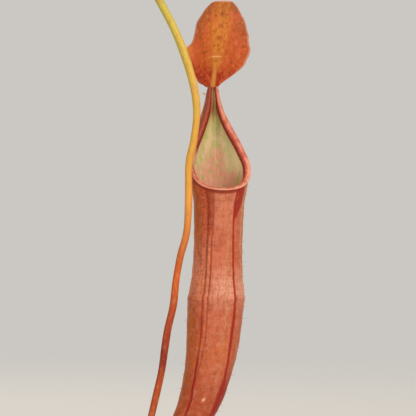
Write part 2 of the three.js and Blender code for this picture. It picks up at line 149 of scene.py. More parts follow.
def lay_floor():
    """Matte card near the pot. Further off it turns clear and shows the pale surroundings."""
    bpy.ops.mesh.primitive_plane_add(size=FLOOR_SIZE)
    floor = bpy.context.object
    floor.name = "floor"
    card = bpy.data.materials.new("matte pale card")
    card.use_nodes = True
    tree = card.node_tree
    place = node(tree, "ShaderNodeTexCoord").outputs["Object"]
    distance = node(tree, "ShaderNodeVectorMath", {0: place}, operation="LENGTH").outputs["Value"]
    limits = {"Value": distance, "From Min": FADE_FROM, "From Max": FADE_TO, "To Min": 1, "To Max": 0}
    near = node(tree, "ShaderNodeMapRange", limits, interpolation_type="SMOOTHSTEP")
    plug(tree, tree.nodes["Principled BSDF"], {"Base Color": "#d6d3ce", "Roughness": 0.9, "Alpha": near})
    floor.data.materials.append(card)


light_studio()
lay_floor()
print(f"studio lit by {len(LAMPS)} soft lamps")

# %% [markdown]
# ## Curves through listed stations
# Natural outlines are easiest to give as a few measured stations with a smooth curve through them.
# `along` is a cubic curve whose slope at each station comes from its neighbours, and `path_through`
# does the same for points in space. Both match the way the frame's solids were drawn.

# %% Curve helpers
def along(stations, t, column=1):
    """The column's value at t, or at each t of an array. The first column is t itself."""
    table = np.array(stations, float)
    x, y = table[:, 0], table[:, column]
    slope = np.empty_like(y)
    slope[1:-1] = (y[2:] - y[:-2]) / (x[2:] - x[:-2])
    slope[0] = (y[1] - y[0]) / (x[1] - x[0])
    slope[-1] = (y[-1] - y[-2]) / (x[-1] - x[-2])
    low = np.clip(np.searchsorted(x, t, side="right") - 1, 0, len(x) - 2)
    span = x[low + 1] - x[low]
    share = np.clip((t - x[low]) / span, 0, 1)
    ease = share * share * (3 - 2 * share)
    bend = slope[low] * span * share * (1 - share) ** 2 - slope[low + 1] * span * share**2 * (1 - share)
    return y[low] * (1 - ease) + y[low + 1] * ease + bend


def eased(t, low, high):
    share = np.clip((np.asarray(t, float) - low) / (high - low), 0, 1)
    return share * share * (3 - 2 * share)


def hump(t, centre, width):
    """A smooth bump: 1 at its centre and nearly 0 two widths away."""
    return np.exp(-(((np.asarray(t, float) - centre) / width) ** 2))


def path_through(points, count):
    """count points at even steps along a smooth curve through the given ones."""
    p = np.array(points, float)
    p = np.vstack([2 * p[0] - p[1], p, 2 * p[-1] - p[-2]])
    t = np.linspace(0, 1, 25)[:-1, None]
    pieces = []
    for a, b, c, d in zip(p, p[1:], p[2:], p[3:]):
        square, cube = a - 2.5 * b + 2 * c - d / 2, 1.5 * b - a / 2 - 1.5 * c + d / 2
        pieces.append(b + t * (c - a) / 2 + t**2 * square + t**3 * cube)
    dense = np.vstack([*pieces, p[-2]])
    run = np.append(0, np.cumsum(np.linalg.norm(np.diff(dense, axis=0), axis=1)))
    even = np.linspace(0, run[-1], count)
    return np.stack([np.interp(even, run, dense[:, i]) for i in range(3)], axis=1)


def unit(vectors):
    return vectors / np.maximum(np.linalg.norm(vectors, axis=-1, keepdims=True), 1e-12)


# %% [markdown]
# ## Skins
# Nearly every part of a plant is a skin over a row of rings: a stem is round rings on a path, and
# a blade is flat, lens-shaped rings. One function joins rings into a closed mesh, lays a UV map
# round and along it, and keeps any measures, such as millimetres from the rim, as attributes
# on its points, so that a material can follow the shape wherever the piece hangs.

# %% Build a skin from rings
def skin(name, rings, around=None, second_from=None, **marks):
    """rings: rows x columns x 3, in mm. around: each column's place round the ring, from 0 to 1.
    Faces from row second_from on take the second material. marks: point attributes."""
    rings = np.asarray(rings, float)
    rows, columns = rings.shape[:2]
    points = rings.reshape(-1, 3)
    index = np.arange(rows * columns).reshape(rows, columns)
    beside = np.roll(index, -1, axis=1)
    quads = np.stack([index[:-1], beside[:-1], beside[1:], index[1:]], axis=-1).reshape(-1, 4)
    around = np.arange(columns) / columns if around is None else np.asarray(around, float)
    u = np.append(around, around[0] + 1)
    v = np.linspace(0, 1, rows)
    left, low = np.meshgrid(np.arange(columns), np.arange(rows - 1))
    corners = ((0, 0), (1, 0), (1, 1), (0, 1))
    uv = [np.stack([u[left + i], v[low + j]], -1) for i, j in corners]
    uv = np.stack(uv, axis=2).reshape(-1, 4, 2)
    ends = [index[0, ::-1], index[-1]]
    end_uv = [np.column_stack([around[::-1], 0 * around]), np.column_stack([around, 0 * around + 1])]
    a, b, c, d = (points[quads[:, k]] for k in range(4))
    volume = np.sum(a * np.cross(b, c)) + np.sum(a * np.cross(c, d))
    for end in ends:
        loop = points[end]
        volume += np.sum(loop[0] * np.cross(loop[1:-1], loop[2:]))
    if volume < 0:
        quads, uv = quads[:, ::-1], uv[:, ::-1]
        ends, end_uv = [e[::-1] for e in ends], [e[::-1] for e in end_uv]
    mesh = bpy.data.meshes.new(name)
    mesh.from_pydata(points * MM, [], quads.tolist() + [e.tolist() for e in ends])
    all_uv = np.concatenate([uv.reshape(-1, 2), *end_uv])
    mesh.uv_layers.new(name="UVMap").data.foreach_set("uv", all_uv.ravel())
    mesh.polygons.foreach_set("use_smooth", np.ones(len(quads) + 2, bool))
    if second_from is not None:
        row_of_face = np.append(np.repeat(np.arange(rows - 1), columns), [0, rows])
        mesh.polygons.foreach_set("material_index", (row_of_face >= second_from).astype(np.int32))
    for mark, values in marks.items():
        values = np.broadcast_to(values, (rows, columns)).astype(np.float32)
        mesh.attributes.new(mark, "FLOAT", "POINT").data.foreach_set("value", values.ravel())
    mesh.update()
    return place_object(name, mesh)


def place_object(name, mesh):
    piece = bpy.data.objects.new(name, mesh)
    bpy.context.scene.collection.objects.link(piece)
    return piece


# %% Rings for tubes and turned shapes, and dressing a piece
def tube_rings(path, radii, sides, reference=(1, 0, 0), twist=0.0):
    """Rings on a path, laid out from a direction that the path never runs along. radii: one for all,
    one for each ring, or one for each point of each ring. twist: how far the last ring is turned."""
    ahead = unit(np.gradient(path, axis=0))
    across = unit(np.cross(ahead, reference))
    other = np.cross(across, ahead)
    turn = np.linspace(0, 2 * np.pi, sides, endpoint=False) + np.linspace(0, twist, len(path))[:, None]
    radii = np.broadcast_to(np.transpose(radii), (sides, len(path))).T[..., None]
    spread = across[:, None] * np.cos(turn)[..., None] + other[:, None] * np.sin(turn)[..., None]
    return path[:, None] + radii * spread


def turned_rings(profile, sides):
    """Rings of a shape turned about Z, from (radius, height) points."""
    profile = np.array(profile, float)
    turn = np.linspace(0, 2 * np.pi, sides, endpoint=False)
    radius, height = profile[:, :1], profile[:, 1:]
    return np.stack([radius * np.cos(turn), radius * np.sin(turn), height + 0 * turn], axis=-1)


def dress(piece, materials, stands_for=()):
    """Gives a finished piece its materials, its body, and the solids that it stands for."""
    for material in materials:
        piece.data.materials.append(material)
    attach(piece, "root")
    if stands_for:
        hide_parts(*stands_for)
    print(f"{piece.name}: {len(piece.data.polygons)} faces")


# %% [markdown]
# ## Growing small things on a surface
# Hairs, glands and bits of bark repeat by the hundred, so Geometry Nodes place them. A tree takes a
# carrier mesh, its inputs are set on a modifier, and the result is kept as a plain mesh of its own.
# What is strewn over a surface, such as hairs or bark, is spread and turned by the same few nodes.

# %% Helpers for Geometry Nodes
def growth_tree(name, sizes):
    """A tree with a geometry and a material in, named sizes in and a geometry out."""
    tree = bpy.data.node_groups.new(name, "GeometryNodeTree")
    tree.interface.new_socket("Geometry", in_out="INPUT", socket_type="NodeSocketGeometry")
    for label, default in sizes.items():
        kind = "NodeSocketInt" if isinstance(default, int) else "NodeSocketFloat"
        socket = tree.interface.new_socket(label, in_out="INPUT", socket_type=kind)
        socket.default_value = default
    tree.interface.new_socket("Material", in_out="INPUT", socket_type="NodeSocketMaterial")
    tree.interface.new_socket("Geometry", in_out="OUTPUT", socket_type="NodeSocketGeometry")
    return tree, node(tree, "NodeGroupInput").outputs


def scattered(tree, given, share, shape, turned, scales, on_normals=False):
    """The shape on random points, fewer where the attribute share is low. turned: the most that each
    is turned about X, Y and Z, either way about the first two. scales: the least and the most."""
    open_share = node(tree, "GeometryNodeInputNamedAttribute", {"Name": share}, data_type="FLOAT")
    density = {0: open_share, 1: given["Per Square Metre"]}
    density = node(tree, "ShaderNodeMath", density, operation="MULTIPLY")
    inputs = {"Mesh": given["Geometry"], "Density": density, "Seed": given["Seed"]}
    spread = node(tree, "GeometryNodeDistributePointsOnFaces", inputs)
    inputs = {"Min": (-turned[0], -turned[1], 0), "Max": turned, "Seed": given["Seed"]}
    turn = node(tree, "FunctionNodeRandomValue", inputs, data_type="FLOAT_VECTOR")
    if on_normals:
        tilted = node(tree, "FunctionNodeEulerToRotation", {"Euler": turn})
        inputs = {"Rotation": spread.outputs["Rotation"], "Rotate By": tilted}
        turn = node(tree, "FunctionNodeRotateRotation", inputs, rotation_space="LOCAL")
    inputs = {2: scales[0], 3: scales[1], "Seed": given["Seed"]}
    scale = node(tree, "FunctionNodeRandomValue", inputs, data_type="FLOAT")
    inputs = {"Points": spread.outputs["Points"], "Instance": shape, "Rotation": turn, "Scale": scale}
    return node(tree, "GeometryNodeInstanceOnPoints", inputs)


def end_tree(tree, given, shape, smooth=True):
    """Makes instances real and gives them their shading and their material, then closes the tree."""
    real = node(tree, "GeometryNodeRealizeInstances", {"Geometry": shape})
    shaded = node(tree, "GeometryNodeSetShadeSmooth", {"Geometry": real, "Shade Smooth": smooth})
    worn = node(tree, "GeometryNodeSetMaterial", {"Geometry": shaded, "Material": given["Material"]})
    node(tree, "NodeGroupOutput", {"Geometry": worn})
    print(f"{tree.name} tree: {len(tree.nodes)} nodes")
    return tree


# %% Grow and keep
def grown(name, carrier, tree, **inputs):
    """What the tree grows on the carrier, as an object of its own."""
    modifier = carrier.modifiers.new("growth", "NODES")
    modifier.node_group = tree
    for item in tree.interface.items_tree:
        if item.in_out == "INPUT" and item.name in inputs:
            modifier[item.identifier] = inputs[item.name]
    graph = bpy.context.evaluated_depsgraph_get()
    mesh = bpy.data.meshes.new_from_object(carrier.evaluated_get(graph), depsgraph=graph)
    mesh.name = name
    carrier.modifiers.remove(modifier)
    return place_object(name, mesh)


# %% [markdown]
# ## Bristles
# A pitcher's outside carries stiff pale hairs, one or two millimetres long and far apart. Each is
# a thin four-sided cone: a random spread over the faces, thinned where the attribute `bristly`
# is low, each turned along the face's normal, tipped a little and given its own length.

# %% The bristle tree
BRISTLE_THICKNESS = 0.16  # real ones are about 0.1 mm: this is the thinnest that still shows
BRISTLE_TIP_SHARE = 0.25
BRISTLE_TURN = (0.3, 0.3, 6.3)
BRISTLE_SCALES = (0.45, 1.25)


def make_bristle_tree():
    sizes = {"Per Square Metre": 2e5, "Length": 1.8 * MM, "Thickness": BRISTLE_THICKNESS * MM, "Seed": 1}
    tree, given = growth_tree("bristles", sizes)
    radius = node(tree, "ShaderNodeMath", {0: given["Thickness"], 1: 0.5}, operation="MULTIPLY")
    tip = node(tree, "ShaderNodeMath", {0: radius, 1: BRISTLE_TIP_SHARE}, operation="MULTIPLY")
    cone = {"Vertices": 4, "Side Segments": 2, "Radius Top": tip, "Radius Bottom": radius}
    hair = node(tree, "GeometryNodeMeshCone", {**cone, "Depth": given["Length"]})
    hairs = scattered(tree, given, "bristly", hair, BRISTLE_TURN, BRISTLE_SCALES, on_normals=True)
    return end_tree(tree, given, hairs)


bristle_tree = make_bristle_tree()

# %% [markdown]
# ## Finishes written as tables
# Leaf tissue is a thin, moist, slightly waxy skin, so every plant finish is a dielectric with a satin
# roughness. The colours live under that skin: each is led by the measures that the skins keep,
# with noise at the size of the real blotches, which are about a millimetre across.
#
# Such colours are many thin layers, so each finish is a table, and `finish` makes its nodes. A
# layer is a colour and its shares, and their product says how much of it shows:
#
# - a number, or the name of a measure that runs from 0 to 1,
# - `("height", -58, -74)`, which grows smoothly from 0 at -58 to 1 at -74, or from a fourth value
#   to a fifth, as in `("height", -60, -30, 0.5, 0.75)`,
# - `("height", "near", -41, 12)`, which is 1 at -41 and falls to 0 at 12 to either side,
# - `blotches`, for patches of noise of a size in millimetres.
#
# A measure is one of the skin's attributes, unless the table works it out: then it is a noise, or the
# operation of a Math node with its inputs. MULTIPLY_ADD with a noise makes a measure waver.

# %% Helpers for finishes
def blotches(size, low=0.5, high=0.7, **how):
    """The share of patches about size mm across. how: stretch along X, Y and Z, detail and seed."""
    return {"size": size, **how}, low, high


def share_of(tree, measures, measure, low, high, *ends):
    """A measure made a share by the numbers that follow it."""
    value = value_of(tree, measures, measure)
    if low == "near":
        off = node(tree, "ShaderNodeMath", {0: value, 1: high}, operation="SUBTRACT")
        value = node(tree, "ShaderNodeMath", {0: off}, operation="ABSOLUTE")
        low, high, ends = ends[0], 0, ()
    least, most = ends or (0, 1)
    inputs = {"Value": value, "From Min": low, "From Max": high, "To Min": least, "To Max": most}
    return node(tree, "ShaderNodeMapRange", inputs, interpolation_type="SMOOTHSTEP")


def value_of(tree, measures, given):
    """What to plug in for a number, a measure's name, a noise's sizes or a share's tuple."""
    if isinstance(given, dict):
        place = node(tree, "ShaderNodeTexCoord").outputs["Object"]
        scale = [1 / (given["size"] * MM * stretch) for stretch in given.get("stretch", (1, 1, 1))]
        inputs = {"Vector": place, "Location": (given.get("seed", 0),) * 3, "Scale": scale}
        moved = node(tree, "ShaderNodeMapping", inputs)
        inputs = {"Vector": moved, "Scale": 1, "Detail": given.get("detail", 3)}
        return node(tree, "ShaderNodeTexNoise", inputs).outputs["Fac"]
    if isinstance(given, tuple):
        return share_of(tree, measures, *given)
    if not isinstance(given, str):
        return given
    rule = measures.get(given)
    if rule is None:
        measures[given] = node(tree, "ShaderNodeAttribute", attribute_name=given).outputs["Fac"]
    elif isinstance(rule, dict):
        measures[given] = value_of(tree, measures, rule)
    elif isinstance(rule, tuple):
        inputs = {i: value_of(tree, measures, value) for i, value in enumerate(rule[1:])}
        measures[given] = node(tree, "ShaderNodeMath", inputs, operation=rule[0])
    return measures[given]


# %% A finish from its table
def layered(tree, measures, base, layers):
    """The base with the layers mixed over it in turn. A layer's colour may be a (base, layers) pair."""
    for tint, *shares in layers:
        amount, *others = [value_of(tree, measures, share) for share in shares]
        for other in others:
            amount = node(tree, "ShaderNodeMath", {0: amount, 1: other}, operation="MULTIPLY")
        if isinstance(tint, tuple):
            tint = layered(tree, measures, *tint)
        base = node(tree, "ShaderNodeMix", {"Factor": amount, "A": base, "B": tint}, data_type="RGBA")
    return base


def finish(name, base, layers, bump, depth, roughness, measures=None, coat=0, sheen=0, specular=0.5):
    """base: a colour, or (measure, low, high, stops) for a ramp. bump: the measure or noise that
    raises the surface, by depth mm. sheen: the pale glow of fine hairs, seen edge-on. specular: under
    0.5 where a surface too rough to model breaks up its reflections."""
    material = bpy.data.materials.new(name)
    material.use_nodes = True
    tree = material.node_tree
    measures = dict(measures or {})
    if isinstance(base, tuple):
        measure, low, high, stops = base
        limits = {"Value": value_of(tree, measures, measure), "From Min": low, "From Max": high}
        share = node(tree, "ShaderNodeMapRange", limits)
        base = node(tree, "ShaderNodeValToRGB", {"Fac": share}, stops=stops)
    height = value_of(tree, measures, bump)
    inputs = {
        "Base Color": layered(tree, measures, base, layers),
        "Normal": node(tree, "ShaderNodeBump", {"Height": height, "Distance": depth * MM, "Strength": 1}),
        "Roughness": roughness, "IOR": 1.42, "Specular IOR Level": specular,
        "Coat Weight": coat, "Coat Roughness": 0.25,
        "Sheen Weight": sheen, "Sheen Roughness": 0.4, "Sheen Tint": "#f2cdb4",
    }
    plug(tree, tree.nodes["Principled BSDF"], inputs)
    print(f"{name}: {len(layers)} layers, {len(tree.nodes)} nodes")
    return material


# %% [markdown]
# ### Cup skin
# The tube is salmon, with a paler panel between its two wings, an ochre left flank and a browner
# right one. Dark lines of painted shade run beside the left wing's crest, and a blood-red one along
# the right spreads into painted shade low down. Painted shade lies under the rim and the hip, and
# painted highlights run down both outlines. Fine freckles break it all up, and a short fuzz gives
# its edges a pale glow.

# %% Cup skin
PANEL = (("wavy", -26, -15), ("wavy", 42, 35))
cup_skin = finish(
    "fuzzy salmon leaf skin",
    "#c66c20",
    [
        ("#c55c34", ("wavy", -68, -34)),
        ("#b36243", ("wavy", 42, 58)),
        ("#97432c", 0.85, ("wavy", 42, 56), ("height", -58, -74)),
        ("#c66a49", *PANEL),
        ("#de9a7e", 0.85, ("height", "near", -41, 12), ("wavy", -30, -5)),
        ("#e28d66", ("height", "near", -35, 22), ("wavy", -16, -30)),
        ("#d28a68", 0.35, ("height", -24, -8), *PANEL),
        ("#c08a55", 0.5, ("wavy", "near", 19, 6), ("height", -10, -24)),
        ("#cf9560", 0.6, ("wavy", "near", 64, 9), ("height", -46, -34)),
        # painted shade just under the hip's crest
        ("#b2563a", 0.2, ("height", "near", -48, 5)),
        ("#c4652e", 0.55, ("height", "near", -69, 14)),
        ("#a44112", ("height", -68, -92), ("wavy", -50, -10, 0.45, 0.85)),
        # streaks, blotches and freckles
        ("#a4452c", 0.42, blotches(0.8, 0.48, 0.64, stretch=(1, 1, 4), detail=4)),
        ("#a84a30", 0.45, blotches(3, 0.5, 0.66, stretch=(1, 1, 1.8), seed=11)),
        ("#e0a088", 0.25, blotches(2.2, 0.42, 0.76, stretch=(1.3, 1.3, 1), seed=7)),
        ("#a4502f", 0.3, blotches(0.7, 0.5, 0.66, stretch=(6, 6, 1), seed=15)),
        (
            "#7e2c18", ("wavy", 5, -35, 0.35, 0.6),
            blotches(0.6, 0.57, 0.7, stretch=(1, 1, 1.5), detail=2, seed=3),
        ),
        (
            "#6e2414", 0.6, ("wavy", -54, -44), ("wavy", -14, -24), ("height", -30, -17),
            blotches(0.5, 0.52, 0.62, stretch=(1, 1, 1.6), detail=2, seed=23),
        ),
        ("#dc9c80", 0.12, blotches(0.6, 0.5, 0.75, detail=2, seed=19)),
        # painted highlights down the outlines, painted shadow under the rim, and the lines
        # painted highlights down the left and the right outline
        ("#c8806c", 0.35, ("turn", "near", -97, 9)),
        ("#e2ae8c", ("turn", "near", 79, 11), ("height", -72, -52, 0.2, 0.62)),
        # a collar of painted shadow under the rim
        ("#8c2913", 0.9, ("below_rim", 2.3, 1.5)),
        # dark lines: painted shade on both sides of the left wing's crest, and over the panel beside its top
        ("#8c2f12", ("broken_dark", 0.6, 1.25), ("height", -60, -30, 0.5, 0.75)),
        # the red line and patches: the tube's own red, partly painted shade low on the right
        ("#971d0c", 0.92, ("broken_red", 0.6, 1.15)),
        ("#f2bf92", "spot"),
    ],
    measures={
        "wavy": ("MULTIPLY_ADD", {"size": 4, "stretch": (1, 1, 2.5)}, 10, "turn"),
        "uneven": {"size": 1.4, "stretch": (1, 1, 2), "seed": 2},
        "broken_dark": ("MULTIPLY_ADD", "uneven", 0.8, "dark_line"),
        "broken_red": ("MULTIPLY_ADD", "uneven", 0.6, "red_line"),
        "pitted": ("ADD", {"size": 0.5, "stretch": (1, 1, 2)}, {"size": 1.6, "stretch": (1, 1, 4)}),
    },
    bump="pitted", depth=0.16, roughness=0.55, sheen=0.05, specular=0.3,
)

# %% [markdown]
# ### Cup lining
# Inside, the upper wall is yellow-green and turns to salmon deeper down. Just inside the rim
# it is dark red, partly its own colour and partly painted shade. The wax there makes it duller than
# the outside. Painted light lifts the lower back wall and the right inner wall, and painted shade
# darkens two bands across the neck under the lid and, with the wall's own olive, the groove up the back.

# %% Cup lining
cup_lining = finish(
    "dull waxy lining",
    "#dbc99a",
    [
        ("#b4a456", ("level", 26, 40)),
        ("#d79a7e", ("level", 30, 16)),
        # paler lower down: painted light that lifts the shade there
        ("#e5a88c", 0.85, ("height", 14, 3)),
        ("#8d4531", ("height", -6, -28)),
        # a darker olive strip up the groove: partly the wall's own olive, partly painted shade
        ("#8f8a3a", 0.55, ("aside", 2.4, 0.4), ("height", 14, 26)),
        ("#a6b860", 0.8, blotches(2.2, 0.5, 0.66, stretch=(1, 1, 1.6), seed=17)),
        ("#b98d62", 0.3, blotches(0.9, 0.5, 0.68, stretch=(1, 1, 5))),
        ("#e2d3aa", 0.35, blotches(1.4, 0.5, 0.7, stretch=(1, 1, 3), seed=8)),
        ("#a9654a", 0.3, blotches(0.7, 0.56, 0.72, detail=2, seed=5)),
        ("#b56f48", 0.75, ("height", 27, 36)),
        # two dark bands across the neck: painted shade under the lid
        ("#7a4a28", 0.5, ("height", "near", 34, 5)),
        ("#74401f", 0.6, ("height", 41.3, 43)),
        # a pale glow on the right inner wall: painted light
        ("#f6ebb6", 0.75, ("turn", "near", 124, 50), ("cloudy", 9, 16)),
        # dark red just inside the rim: partly its own colour, partly painted shade under the rim
        ("#8a2c1a", ("below_rim", 2.7, 1.9), ("height", 38, 30)),
    ],
    measures={
        "cloudy": ("MULTIPLY_ADD", {"size": 3, "stretch": (1, 1, 2)}, 9, "height"),
        "level": ("MULTIPLY_ADD", ("aside", 1.5, 7), 11, "cloudy"),
    },
    bump={"size": 0.7}, depth=0.06, roughness=0.6, specular=0.3,
)

# %% [markdown]
# ### Rim
# The rim is a rolled lip, smooth and hard, which stays wet and slippery: a pink skin under a thin
# gloss. Its inner side, towards the mouth, is dark red, partly its own colour and partly painted
# shade, and its outer edge carries a pale painted highlight, brighter on the right. The left branch
# up the neck is browner than the right one.

# %% Rim finish
rim_finish = finish(
    "glossy pink lip",
    "#c5644c",
    [
        ("#db8e76", 0.85, blotches(2.5, 0.38, 0.62)),
        ("#83341c", 0.95, ("place", -85, -125)),
        # a pale painted highlight along the outer edge, and a brighter painted highlight on the right side
        ("#e0a283", 0.5, ("band", 0.85, 1.15), ("place", 145, 120)),
        ("#f0ab8e", 0.75, ("place", "near", 90, 32), ("band", 0.1, 0.6)),
        # the inner side darkens to red: partly its own colour, partly painted shade
        ("#b5452c", 0.7, ("band", 0.3, -0.05)),
        ("#82240f", ("band", -0.05, -0.45)),
        ("#d49a7a", 0.9, ("place", "near", -94, 22)),
    ],
    measures={
        "place": ("MULTIPLY_ADD", {"size": 4}, 20, "turn"),
        "band": ("MULTIPLY_ADD", {"size": 2.5}, 0.5, "across"),
    },
    bump={"size": 0.6, "detail": 2}, depth=0.03, roughness=0.36, coat=0.08, specular=0.4,
)

# %% [markdown]
# ### Lid
# The lid is a thin blade, orange with a golden band along its midline and deep red lobes at its
# foot. Short streaks and blotches cover it, and a pale painted highlight runs along its very edge.
# The marks of the nectar glands are soft brown smudges.

# %% Lid finish
lid_finish = finish(
    "thin veined orange leaf",
    "#c25a20",
    [
        ("#b9521f", ("cloudy", 0, 9)),
        ("#c65a2c", 0.8, ("cloudy", -1, -9)),
        ("#cf812a", 0.95, ("spread", 6, -2.5)),
        ("#cf8534", 0.75, ("aside", -8.5, -11.5), ("share", "near", 0.37, 0.13)),
        ("#9c5424", 0.6, ("share", 0.72, 1)),
        ("#935230", 0.7, ("from_middle", 0.35, 0.9), ("share", 0.45, 0.8)),
        ("#c84e20", 0.5, ("from_middle", 0.1, 0.5), ("share", 0.42, 0.16)),
        ("#9f2b05", ("share", 0.3, 0.12)),
        ("#96390f", 0.38, blotches(0.7, 0.48, 0.64, stretch=(1, 1, 2.5), detail=4)),
        ("#e29a5c", 0.24, blotches(0.9, 0.5, 0.66, stretch=(1, 1, 1.8), detail=4, seed=9)),
        ("#a04c17", 0.35, blotches(1.8, 0.52, 0.66, stretch=(1, 1, 1.5), detail=4, seed=21)),
        ("#d2603a", 0.45, blotches(3, 0.52, 0.66, stretch=(1, 1, 1.4), seed=6)),
        ("#9a3f1c", 0.2, "vein"),
        ("#d08b40", 0.85, ("midrib", 1.5, 0.4), ("share", 0.55, 0.1)),
        ("#8a3f0e", 0.75, "gland"),
        ("#eebb80", 0.55, ("crease", "near", 0.352, 0.014), ("off_midline", 2.5, 1.5)),
        # a pale painted highlight along the edges and the blunt end
        ("#cf9f8a", 0.65, ("near_edge", 0.9, 1)),
    ],
    measures={
        "from_middle": ("ABSOLUTE", "across"),
        "from_golden": ("SUBTRACT", "aside", 0.15),
        "off_midline": ("ABSOLUTE", "from_golden"),
        "cloudy": ("MULTIPLY_ADD", {"size": 4, "stretch": (1, 1, 2)}, 5, "aside"),
        "wedge": ("MULTIPLY_ADD", "share", -4.5, "off_midline"),
        "spread": ("MULTIPLY_ADD", {"size": 3, "stretch": (1, 1, 3), "seed": 14}, 3, "wedge"),
        "midrib": ("ADD", "share", "off_midline"),
        "crease": ("MULTIPLY_ADD", "aside", -0.0035, "share"),
        "near_edge": ("MAXIMUM", "from_middle", ("share", 0.9, 1)),
        "ridges": ("MULTIPLY_ADD", "vein", 0.4, {"size": 0.7, "stretch": (1, 1, 4)}),
    },
    bump="ridges", depth=0.2, roughness=0.55, sheen=0.04, specular=0.25,
)

# %% [markdown]
# ### Tendril, spur, hairs and glands
# The tendril is smooth and round. Its colour runs from yellow near the leaf through orange to
# brick red near the pitcher's foot, so one colour ramp led by the height does it. One side of
# its upper half stays greener.

# %% Tendril and small finishes
TENDRIL_STOPS = [
    (0, "#8a3218"), (1, "#9fa63c"), (0.2, "#a94312"), (0.235, "#a83e10"), (0.262, "#862404"),
    (0.285, "#881a02"), (0.315, "#9a2c0a"), (0.36, "#b04616"), (0.42, "#ca5810"), (0.45, "#b95314"),
    (0.5, "#d28033"), (0.54, "#e59c46"), (0.62, "#d89d36"), (0.74, "#d9aa4a"), (0.86, "#cdb54a"),
]
tendril_finish = finish(
    "smooth golden stalk",
    ("level", -130, 110, TENDRIL_STOPS),
    [
        ("#b9b23a", 0.6, ("left", 0.1, 0.9), ("level", 0, 70)),
        ("#b0602a", 0.3, blotches(1.2, 0.48, 0.7, stretch=(1, 1, 2.5))),
        ("#ecbf70", 0.15, blotches(1, 0.5, 0.7, stretch=(1, 1, 3), seed=4)),
    ],
    measures={"level": ("MULTIPLY_ADD", {"size": 6, "stretch": (1, 1, 2)}, 12, "height")},
    bump={"size": 0.5, "stretch": (1, 1, 6), "detail": 2},
    depth=0.06, roughness=0.45, coat=0.06, specular=0.4,
)


def two_tone(name, light, dark, size, roughness, depth=0.05, detail=3):
    """Two close colours in blotches of the given size."""
    layer = (dark, blotches(size, 0.35, 0.65, detail=detail))
    return finish(name, light, [layer], {"size": size / 3, "detail": detail}, depth, roughness)


# The dry filament is chalky, the hairs are clear and stiff, and the glands have a slight shine.
spur_finish = two_tone("pale dry filament", "#f2eee2", "#d2c8b2", 0.8, 0.6)
bristle_finish = two_tone("clear stiff hair", "#ead9c2", "#d2ab8e", 2, 0.4)
gland_finish = two_tone("brown sunken gland", "#93420f", "#7a330f", 0.5, 0.4)

# %% [markdown]
# ## The hanging unit
# Every pitcher hangs in the same way: the leaf's midrib runs on as a tendril, which drops past the
# mouth, turns up under the cup and widens into it. So all of it is drawn once, for the largest
# pitcher, with the origin on the cup's axis level with the front of the rim. Then `placed`
# scales it, turns it the way its leaf points and hangs it on the leaf's tip.

# %% Leaves, tips and placing
FIRST_LEAF_HEIGHT = 147
LEAF_SPACING = 14
FIRST_LEAF_AZIMUTH = 85
GOLDEN_ANGLE = 137.5
LEAF_COLUMNS = ("reach", "tip", "rise", "droop", "half_width", "pitcher", "size", "twist")
LEAVES = [
    dict(zip(LEAF_COLUMNS, row))
    for row in (
        (112, 205, 50, -35, 20, "open", 0.75, 12),
        (118, 232, 62, -32, 21, "open", 0.9, -14),
        (119.6, 249.6, 72, -29, 21, "open", 1, 0),
        (116, 262, 70, -30, 20, "open", 0.8, 16),
        (108, 275, 70, -28, 19, "closed", 0.6, -10),
        (78, 318, 78, -12, 16, "closed", 0.3, 8),
        (98, 300, 75, -22, 17, "closed", 0.42, 14),
        (66, 335, 80, -3, 13, "none", 1, 0),
        (42, 345, 83, 6, 9, "none", 0.8, 0),
    )
]
MAIN_LEAF = 2  # the one that holds the photographed pitcher
TENDRIL_RADIUS = 1.7
LEAF_TIP = np.array([-50.2, 0, 105])  # in the hanging unit's own frame


def azimuth(index):
    return math.radians(FIRST_LEAF_AZIMUTH + index * GOLDEN_ANGLE)


def leaf_tip(index):
    turn, reach = azimuth(index), LEAVES[index]["reach"]
    return np.array([reach * math.cos(turn), reach * math.sin(turn), LEAVES[index]["tip"]])


def leaves_with(*kinds):
    """The numbers of the leaves that carry those kinds of pitcher."""
    return [index for index, leaf in enumerate(LEAVES) if leaf["pitcher"] in kinds]


def placed(points, index, origin=LEAF_TIP):
    """Points of the hanging unit, moved to where that leaf carries it."""
    leaf = LEAVES[index]
    turn = azimuth(index) + math.radians(leaf["twist"])
    x, y, z = np.moveaxis((np.asarray(points) - origin) * leaf["size"], -1, 0)
    swung = [x * math.cos(turn) - y * math.sin(turn), x * math.sin(turn) + y * math.cos(turn), z]
    return np.stack(swung, axis=-1) + leaf_tip(index)


print(f"{len(LEAVES)} leaves, {len(leaves_with('open'))} with an open pitcher")

# %% Measures of a pitcher
CUP_WALL = 1.2
LINING_DEPTH = 0.9
TUBE_TOP = -6
CUP_BOTTOM = -127
CUP_HOLLOW_BOTTOM = -113
CUP_AXIS = [
    (-127, -26.3, -8), (-121, -23.7, -6.5), (-112.6, -20, -5.2), (-103.7, -15.3, -4),
    (-94.9, -10.9, -2.8), (-88.2, -7.95, -2.2), (-78.1, -5.15, -1.5), (-67.2, -3.12, -0.8),
    (-54.6, -1.97, -0.2), (-34.4, -0.9, 0), (0, 0, 0),
]
CUP_RADIUS = [
    (-127, 2.1), (-121, 3.6), (-112.6, 5.7), (-103.7, 7.4), (-95, 8.7), (-81.5, 9.75), (-67, 10.76),
    (-54.6, 11.68), (-46, 12.1), (-41, 11.3), (-34.4, 10.5), (-21, 10.2), (-6, 10.7), (0, 12),
]
LEFT_RIB = [(-127, -34), (-94, -33), (-88, -34), (-83, -37), (-71, -37.5), (-59, -32), (-21, -30.5), (0, -29)]
RIGHT_RIB = [
    (-127, 50), (-94, 43), (-88, 38.5), (-80, 38), (-71, 34.5), (-63, 32.3), (-55, 32), (-46, 31.5),
    (-34, 30), (-18, 28), (0, 29),
]
HIP = -45.5

